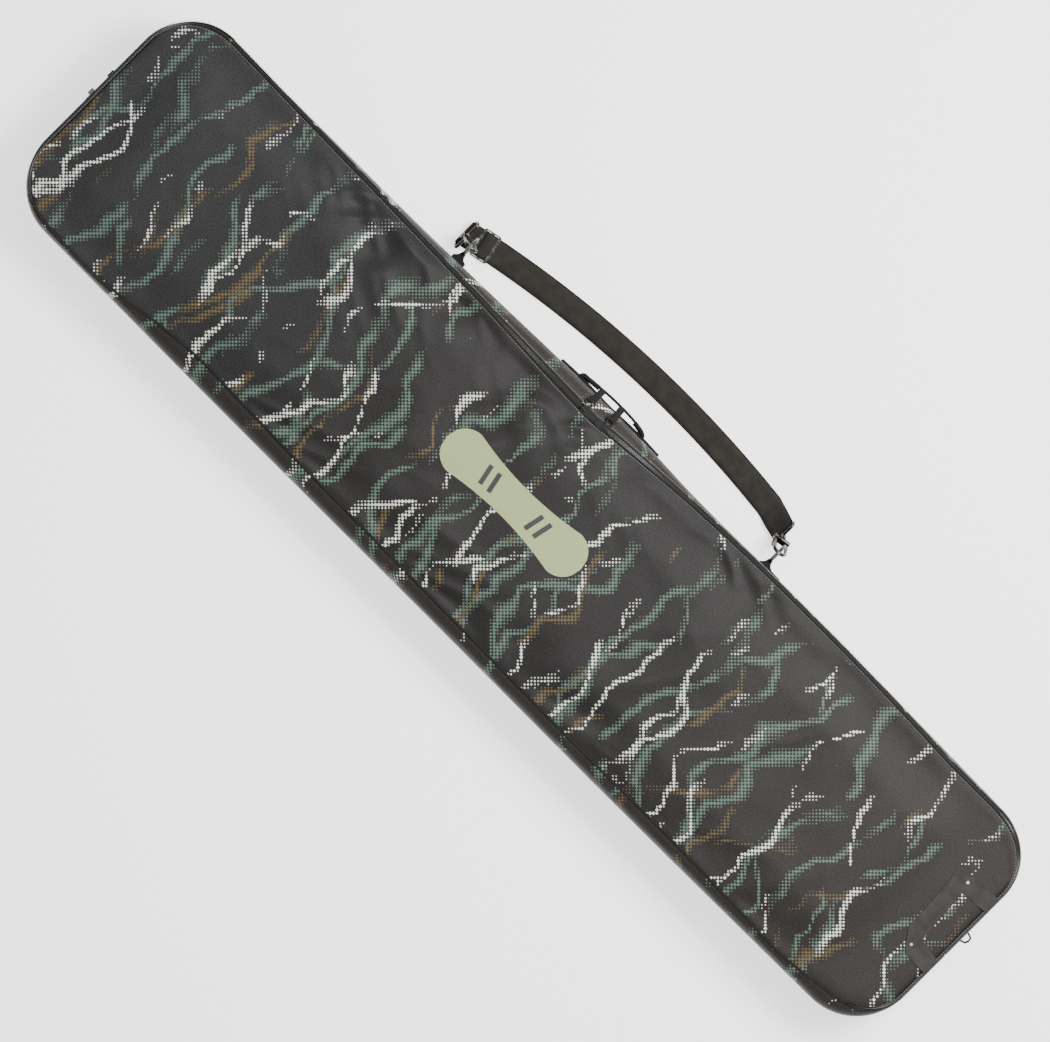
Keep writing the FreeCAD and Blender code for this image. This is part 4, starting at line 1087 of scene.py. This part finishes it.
def haul_handle():
    low = EDGE_Z + HAUL_LIFT
    pieces = [
        ("haul_leg_strap", HAUL_LEG_STRAP, low),
        ("haul_leg_hinge", HAUL_LEG_HINGE, low),
        ("haul_bar", HAUL_BAR, low + HAUL_BAR_LIFT),
    ]
    for name, outline, base in pieces:
        made = slab(name, outline[::-1], base, base + HAUL_T)
        nodes = ("haul_handle",) if name == "haul_bar" else ()
        on_body(made, HAUL_LOOK, "webbing", "haul_handle", *nodes)


def trim():
    line = [(x, y, HARDWARE_Z + TAIL_LOOP_R) for x, y in TAIL_LOOP]
    made = tube("tail_loop_cord", line, TAIL_LOOP_R)
    on_body(made, PIPING, "webbing", "shell", "tail_loop")
    made = ribbon("nose_loop_webbing", NOSE_LOOP, (0, 1, 0), 0.012, 0.003)
    on_body(made, TAB_LOOK, "webbing", "shell", "nose_loop")
    made = ribbon("nose_label_woven", LABEL_LINE, (0, 1, 0), 0.010, 0.0012)
    on_body(made, LABEL, "label", "shell", "nose_label")
    made = ribbon("nose_label_base", LABEL_BASE, (0, 1, 0), 0.018, 0.0016)
    on_body(made, TAB_LOOK, "webbing", "shell")


def pull_tabs():
    """Ribbed webbing folded round each puller's far bar."""
    for end in ("nose", "tail"):
        low, high = [np.array(corner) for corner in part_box(f"pull_tab_{end}")]
        slope = -ZIP_NOSE_SLOPE if end == "nose" else 0.0
        centre = (low + high) / 2
        direction = np.array([math.sin(slope), math.cos(slope), 0])
        if end == "tail":
            direction = np.array(PULL_TAIL_WAY)
        reach = (high[1] - low[1]) / 2
        points = [centre + direction * reach * t for t in np.linspace(-1, 1, 12)]
        across = np.cross(direction, (0, 0, 1))
        made = ribbon(f"pull_webbing_{end}", points, across, PULL_W, high[2] - low[2])
        on_body(made, HANDLE_LOOK, "webbing", f"pull_{end}", f"pull_tab_{end}")
        steps = np.arange(-0.85, 0.86, PULL_RIB_STEP / reach)
        top = np.array([0, 0, (high[2] - low[2]) / 2])
        centres = np.array([centre + top + direction * reach * t for t in steps])
        up = np.array([0.0, 0.0, 1.0])
        axes = [np.broadcast_to(axis, centres.shape) for axis in (across, direction, up)]
        ribs = blocks(f"pull_ribs_{end}", centres, axes, PULL_RIB)
        on_body(ribs, ENAMEL, "webbing", f"pull_{end}")


def hardware():
    for name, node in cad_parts.items():
        if name.startswith(("d_ring", "hook_", "gate_nose", "gate_tail", "strap_eye")) or name == "adjuster":
            dress(node, METAL)
        elif name.startswith(("slider_", "puller_")):
            dress(node, ENAMEL)
        elif name.startswith(("gate_pin", "gate_spring")):
            dress(node, STEEL)
        elif name == "haul_handle_studs":
            dress(node, STUD)


# ---------------------------------------------------------------- studio
def studio():
    corners = [(x * FLOOR_HALF, y * FLOOR_HALF, 0) for x, y in ((-1, -1), (1, -1), (1, 1), (-1, 1))]
    floor = mesh_object("floor", corners, [(0, 1, 2, 3)])
    floor.data.materials.append(floor_look())
    world = bpy.data.worlds.new("studio")
    world.use_nodes = True
    world.node_tree.nodes["Background"].inputs[0].default_value = (1.0, 1.0, 1.0, 1.0)
    world.node_tree.nodes["Background"].inputs[1].default_value = WORLD_LIGHT
    bpy.context.scene.world = world
    area_light("key", KEY_PLACE, KEY_SIZE, KEY_POWER)


def area_light(name, place, size, power):
    lamp = bpy.data.lights.new(name, "AREA")
    lamp.size = size
    lamp.energy = power
    made = bpy.data.objects.new(name, lamp)
    made.location = place
    made.rotation_euler = (-Vector(place)).to_track_quat("-Z", "Y").to_euler()
    bpy.context.scene.collection.objects.link(made)


def camera():
    lens = bpy.data.cameras.new("camera")
    lens.lens = LENS
    lens.sensor_width = SENSOR
    made = bpy.data.objects.new("camera", lens)
    made.location = CAMERA_PLACE
    made.rotation_euler = (0.0, 0.0, CAMERA_TURN)
    bpy.context.scene.collection.objects.link(made)
    bpy.context.scene.camera = made


camera()
studio()
front_cover()
lid_lining()
front_piping()
gusset_cover()
body_lining()
back_cover()
zip_pieces()
emblem()
strap()
adjuster_webbing()
ring_tab("nose", 0.012)
ring_tab("tail", 0.028)
carry_handle()
haul_handle()
trim()
pull_tabs()
hardware()
